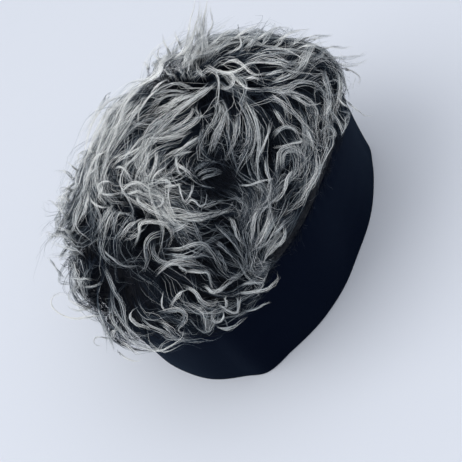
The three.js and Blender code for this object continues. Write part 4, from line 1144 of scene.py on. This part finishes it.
def hairShade(points, along, plan, layer, rng):
    count = len(points)
    perLock = layer["hairsPerLock"]
    lockTone = np.repeat(plan["tone"], perLock)
    tip = layer["tipShade"] + lockTone + layer["toneSpread"] * rng.normal(size=count)
    pale = rng.random(count) < layer["paleShare"]
    tip = np.where(pale, layer["paleShade"] + 0.1 * rng.random(count), tip)
    onset = layer["onset"] * scattered("onset", rng.random(count))
    onset = np.where(pale, furForm["paleOnset"] * onset, onset)[:, None]
    ease = np.clip((along[None] - 0.3 * onset) / np.maximum(onset, 0.02), 0, 1)
    ease = ease * ease * (3 - 2 * ease)
    root = layer["rootShade"]
    shade = root + (tip[:, None] - root) * ease
    # the place's painted shade: darker deep in the pile, and the patches of tone and painted light
    feeling = layer["placeFeel"] * np.where(pale, furForm["paleFeel"], 1.0)[:, None]
    patched = 1 + furForm["patchPull"] * feeling * patchToneAndShade(points)
    return np.clip(shade * patched * pileDepthPaintedShade(points) ** feeling, 0, 1)


hairTaper = {"root": 0.75, "swell": 0.5, "tip": 0.75}  # the root's thickness, what is added and lost


# One closed three-sided tapering tube for each hair, all in one mesh.
def hairMesh(name, points, shade, radius):
    count, rings = points.shape[0], points.shape[1]
    along = np.linspace(0, 1, rings)
    way = unit(np.gradient(points, axis=1))
    up = outward(points.reshape(-1, 3)).reshape(points.shape)
    side = unit(np.cross(way, up))
    other = np.cross(side, way)
    swell = hairTaper["root"] + hairTaper["swell"] * along * (1 - along)
    thick = (radius[:, None] * swell * (1 - hairTaper["tip"] * along ** 2))[..., None]
    corners = []
    for third in range(3):
        turn = math.pi / 2 + third * 2 * math.pi / 3
        corners.append(points + thick * (math.cos(turn) * side + math.sin(turn) * other))
    tube = np.stack(corners, 2)[:, :-1].reshape(count, -1, 3)
    verts = np.concatenate([tube, points[:, -1:]], 1)
    perHair = verts.shape[1]
    ring = np.arange(rings - 2)[:, None] * 3
    corner = np.arange(3)
    after = (corner + 1) % 3
    sides = (ring + corner, ring + after, ring + 3 + after, ring + 3 + corner)
    quads = np.stack(np.broadcast_arrays(*sides), -1).reshape(-1, 4)
    last = (rings - 2) * 3
    tips = np.stack([last + corner, last + after, np.full(3, perHair - 1)], -1)
    ends = np.concatenate([tips, [[2, 1, 0]]])
    base = (np.arange(count) * perHair)[:, None, None]
    allQuads = (quads[None] + base).reshape(-1, 4)
    allEnds = (ends[None] + base).reshape(-1, 3)
    flat = verts.reshape(-1, 3) + frameShift
    data = bpy.data.meshes.new(name)
    data.vertices.add(len(flat))
    data.vertices.foreach_set("co", flat.ravel())
    loops = np.concatenate([allQuads.ravel(), allEnds.ravel()])
    data.loops.add(len(loops))
    data.loops.foreach_set("vertex_index", loops)
    sizes = np.concatenate([np.full(len(allQuads), 4), np.full(len(allEnds), 3)])
    starts = np.concatenate([[0], np.cumsum(sizes)[:-1]])
    data.polygons.add(len(sizes))
    data.polygons.foreach_set("loop_start", starts)
    data.polygons.foreach_set("use_smooth", np.ones(len(sizes), bool))
    data.update(calc_edges=True)
    tone = np.concatenate([np.repeat(shade[:, :-1], 3, axis=1), shade[:, -1:]], 1).ravel()
    data.attributes.new("shade", "FLOAT", "POINT").data.foreach_set("value", tone.astype(np.float32))
    piece = bpy.data.objects.new(name, data)
    bpy.context.collection.objects.link(piece)
    triangles = 2 * len(allQuads) + len(allEnds)
    print(name, count, "hairs", triangles, "triangles")
    return piece


goldenAngle = 137.508  # degrees; turning by it spreads roots evenly
rootJitter = 6  # degrees


def scatteredRoots(count, rng, lowTilt, highTilt):
    number = np.arange(count)
    low, high = math.sin(math.radians(lowTilt)), math.sin(math.radians(highTilt))
    share = (number + rng.random(count)) / count
    tilt = np.degrees(np.arcsin(low + share * (high - low)))
    azimuth = (number * goldenAngle + rootJitter * rng.normal(size=count)) % 360
    return azimuth, tilt


def nearDrawn(azimuth, tilt):  # 1 where drawn locks lie thick, 0 where there are none
    apart = np.linalg.norm(capPoint(azimuth, tilt)[:, None, :] - drawn["place"][None], axis=-1)
    return np.minimum(1, np.exp(-(apart / furForm["drawnReach"]) ** 2).sum(1) / 4)


def combedPlan(count, layer, rng):
    azimuth, tilt = scatteredRoots(count, rng, *layer["tilts"])
    weights = combWeights(capPoint(azimuth, tilt))
    local = {name: weights @ comb[name] for name in ("length", "wave", "lift")}
    random = rng.random((5, count))
    duller = furForm["besideDrawn"] * nearDrawn(azimuth, tilt)
    return {
        "azimuth": azimuth,
        "tilt": tilt,
        "length": layer["length"] * local["length"] * scattered("length", random[0]),
        "lift": layer["lift"] * combedLift(local["lift"]) * scattered("lift", random[1]),
        "rootLift": layer["rootLift"],
        "wave": layer["wave"] * local["wave"] * scattered("wave", random[2]),
        "waves": scattered("waves", random[3]),
        "phase": 2 * math.pi * random[4],
        "turn": np.radians(layer["turn"]) * rng.normal(size=count),
        "bend": np.radians(layer["bend"]) * rng.normal(size=count),
        "flick": layer["flick"] * rng.normal(size=count).clip(-0.5, 2.5),
        "tone": layer["lockTone"] * rng.normal(size=count) - duller,
        "size": scattered("size", rng.random(count)),
        "most": layer["most"],
    }


usualFur = {  # what a layer below has unless it says otherwise
    "tilts": (-2, 88), "gather": 1.0, "thickness": 0.6, "lengthSpread": 0.5, "startSpread": 0.0,
    "toneSpread": 0.1, "kept": True, "placeFeel": 1.0,
}
furLayers = {
    "underfur": {
        "seed": 11, "locks": 680, "hairsPerLock": 8, "segments": 4, "radius": 0.2 * mm,
        "length": 28 * mm, "lift": 5 * mm, "rootLift": 0.8 * mm, "most": 0.6, "wave": 1.5 * mm,
        "turn": 18, "bend": 15, "flick": 1 * mm, "rootSpread": 5 * mm, "tipSpread": 4 * mm,
        "gather": 0.5, "thickness": 0.5, "stray": 1.2 * mm, "cross": 1 * mm, "rootShade": 0.08,
        "tipShade": 0.42, "lockTone": 0.06, "paleShare": 0.03, "paleShade": 0.7, "onset": 0.5,
    },
    "greyFur": {
        "seed": 12, "locks": 400, "hairsPerLock": 14, "segments": 6, "radius": 0.12 * mm,
        "length": 34 * mm, "lift": 7.5 * mm, "rootLift": 1.2 * mm, "most": 0.85, "wave": 2 * mm,
        "turn": 10, "bend": 15, "flick": 1 * mm, "rootSpread": 4.5 * mm, "tipSpread": 2.2 * mm,
        "gather": 0.8, "stray": 0.8 * mm, "cross": 0.8 * mm, "rootShade": 0.1, "tipShade": 0.5,
        "lockTone": 0.12, "toneSpread": 0.15, "paleShare": 0.06, "paleShade": 0.9, "onset": 0.4,
    },
    "silverFur": {
        "seed": 13, "locks": 290, "hairsPerLock": 13, "segments": 8, "radius": 0.13 * mm,
        "length": 42 * mm, "lift": 9 * mm, "rootLift": 1.5 * mm, "most": 1.0, "wave": 3.5 * mm,
        "turn": 10, "bend": 18, "flick": 1.5 * mm, "rootSpread": 3.6 * mm, "tipSpread": 0.8 * mm,
        "stray": 0.9 * mm, "cross": 0.8 * mm, "lengthSpread": 0.4, "rootShade": 0.1,
        "tipShade": 0.62, "lockTone": 0.15, "toneSpread": 0.15, "paleShare": 0.15,
        "paleShade": 0.95, "onset": 0.35,
    },
    "whiteFur": {
        "seed": 14, "locks": 200, "hairsPerLock": 8, "segments": 10, "radius": 0.14 * mm,
        "tilts": (0, 88), "length": 46 * mm, "lift": 10.5 * mm, "rootLift": 2 * mm, "most": 1.1,
        "wave": 5 * mm, "turn": 14, "bend": 35, "flick": 2 * mm, "rootSpread": 2.4 * mm,
        "tipSpread": 0.5 * mm, "stray": 0.8 * mm, "cross": 0.5 * mm, "lengthSpread": 0.35,
        "rootShade": 0.2, "tipShade": 0.95, "lockTone": 0.08, "toneSpread": 0.12,
        "paleShare": 0.4, "paleShade": 0.98, "onset": 0.3,
    },
    "flyaways": {
        "seed": 15, "locks": 380, "hairsPerLock": 4, "segments": 8, "radius": 0.09 * mm,
        "tilts": (4, 84), "length": 34 * mm, "lift": 11 * mm, "rootLift": 3 * mm, "most": 1.9,
        "wave": 6 * mm, "turn": 40, "bend": 60, "flick": 8 * mm, "rootSpread": 2 * mm,
        "tipSpread": 3 * mm, "thickness": 0.8, "stray": 2 * mm, "cross": 1.5 * mm,
        "rootShade": 0.3, "tipShade": 0.8, "lockTone": 0.08, "paleShare": 0.3,
        "paleShade": 0.98, "onset": 0.3,
    },
    "edgeFuzz": {
        "seed": 16, "locks": 500, "hairsPerLock": 4, "segments": 3, "radius": 0.09 * mm,
        "tilts": (0, 7), "length": 8 * mm, "lift": 2 * mm, "rootLift": 1 * mm, "most": 1.5,
        "wave": 1 * mm, "turn": 40, "bend": 20, "flick": 1.5 * mm, "rootSpread": 2 * mm,
        "tipSpread": 2 * mm, "gather": 0.8, "thickness": 0.5, "stray": 0.7 * mm, "cross": 1 * mm,
        "lengthSpread": 0.6, "rootShade": 0.4, "tipShade": 0.7, "lockTone": 0.05,
        "paleShare": 0.05, "paleShade": 0.8, "onset": 0.4, "kept": False,
    },
}


def makeHairs(name, traced, plan, layer, rng):
    points, along = growHairs(traced, plan, layer, rng)
    shade = hairShade(points, along, plan, layer, rng)
    radius = layer["radius"] * scattered("radius", rng.random(len(points)))
    rooted = rootedAboveHem(points) | (not layer["kept"])
    piece = hairMesh(name, points[rooted], shade[rooted], radius[rooted])
    finishPiece(piece, furFibre, "fur_pile", "fur")


def makeFurLayer(name):
    layer = {**usualFur, **furLayers[name]}
    rng = np.random.default_rng(layer["seed"])
    plan = combedPlan(layer["locks"], layer, rng)
    makeHairs(name, traceLocks(plan, layer["kept"]), plan, layer, rng)


def makeDrawnFur():
    middles = drawn["middle"]
    outs = outward(middles)
    sides = unit(np.cross(outs, unit(np.gradient(middles, axis=1))))
    plan = {"size": np.array(drawn["size"]), "tone": np.array(drawn["tone"])}
    rng = np.random.default_rng(drawnLayer["seed"])
    makeHairs("drawnFur", (middles, sides, outs), plan, drawnLayer, rng)


makeBand()
print("band made")
makeCrown()
print("crown made")
for layerName in furLayers:
    makeFurLayer(layerName)
makeDrawnFur()
print("fur made")


# Floor and light
floor = {"size": 6.0}
light = {
    "sky": "DDE3EA",
    "skyStrength": 0.6,
    "lamps": {
        "window": {"place": (-1.9, 0.5, 2.6), "size": 2.6, "power": 48, "colour": "FFFFFF"},
        "ceiling": {"place": (0.5, -0.4, 2.2), "size": 3.4, "power": 32, "colour": "F6F8FF"},
    },
}


def makeTable():
    deselectAll()
    bpy.ops.mesh.primitive_plane_add(size=floor["size"], location=(0, 0, 0))
    piece = newest("tableTop")
    piece.data.materials.append(laminate)


def makeLight():
    bpy.context.scene.view_settings.view_transform = "Standard"
    world = bpy.data.worlds.new("paleRoom")
    bpy.context.scene.world = world
    world.use_nodes = True
    sky = world.node_tree.nodes["Background"]
    sky.inputs["Color"].default_value = hexColour(light["sky"])
    sky.inputs["Strength"].default_value = light["skyStrength"]
    for name, settings in light["lamps"].items():
        bpy.ops.object.light_add(type="AREA", location=settings["place"])
        lamp = bpy.context.object
        lamp.name = name + "Light"
        lamp.data.size = settings["size"]
        lamp.data.energy = settings["power"]
        lamp.data.color = hexColour(settings["colour"])[:3]
        aim = Vector((0, 0, hat["bandHeight"])) - lamp.location
        lamp.rotation_euler = aim.to_track_quat("-Z", "Y").to_euler()


makeTable()
makeLight()
print("table and light set")
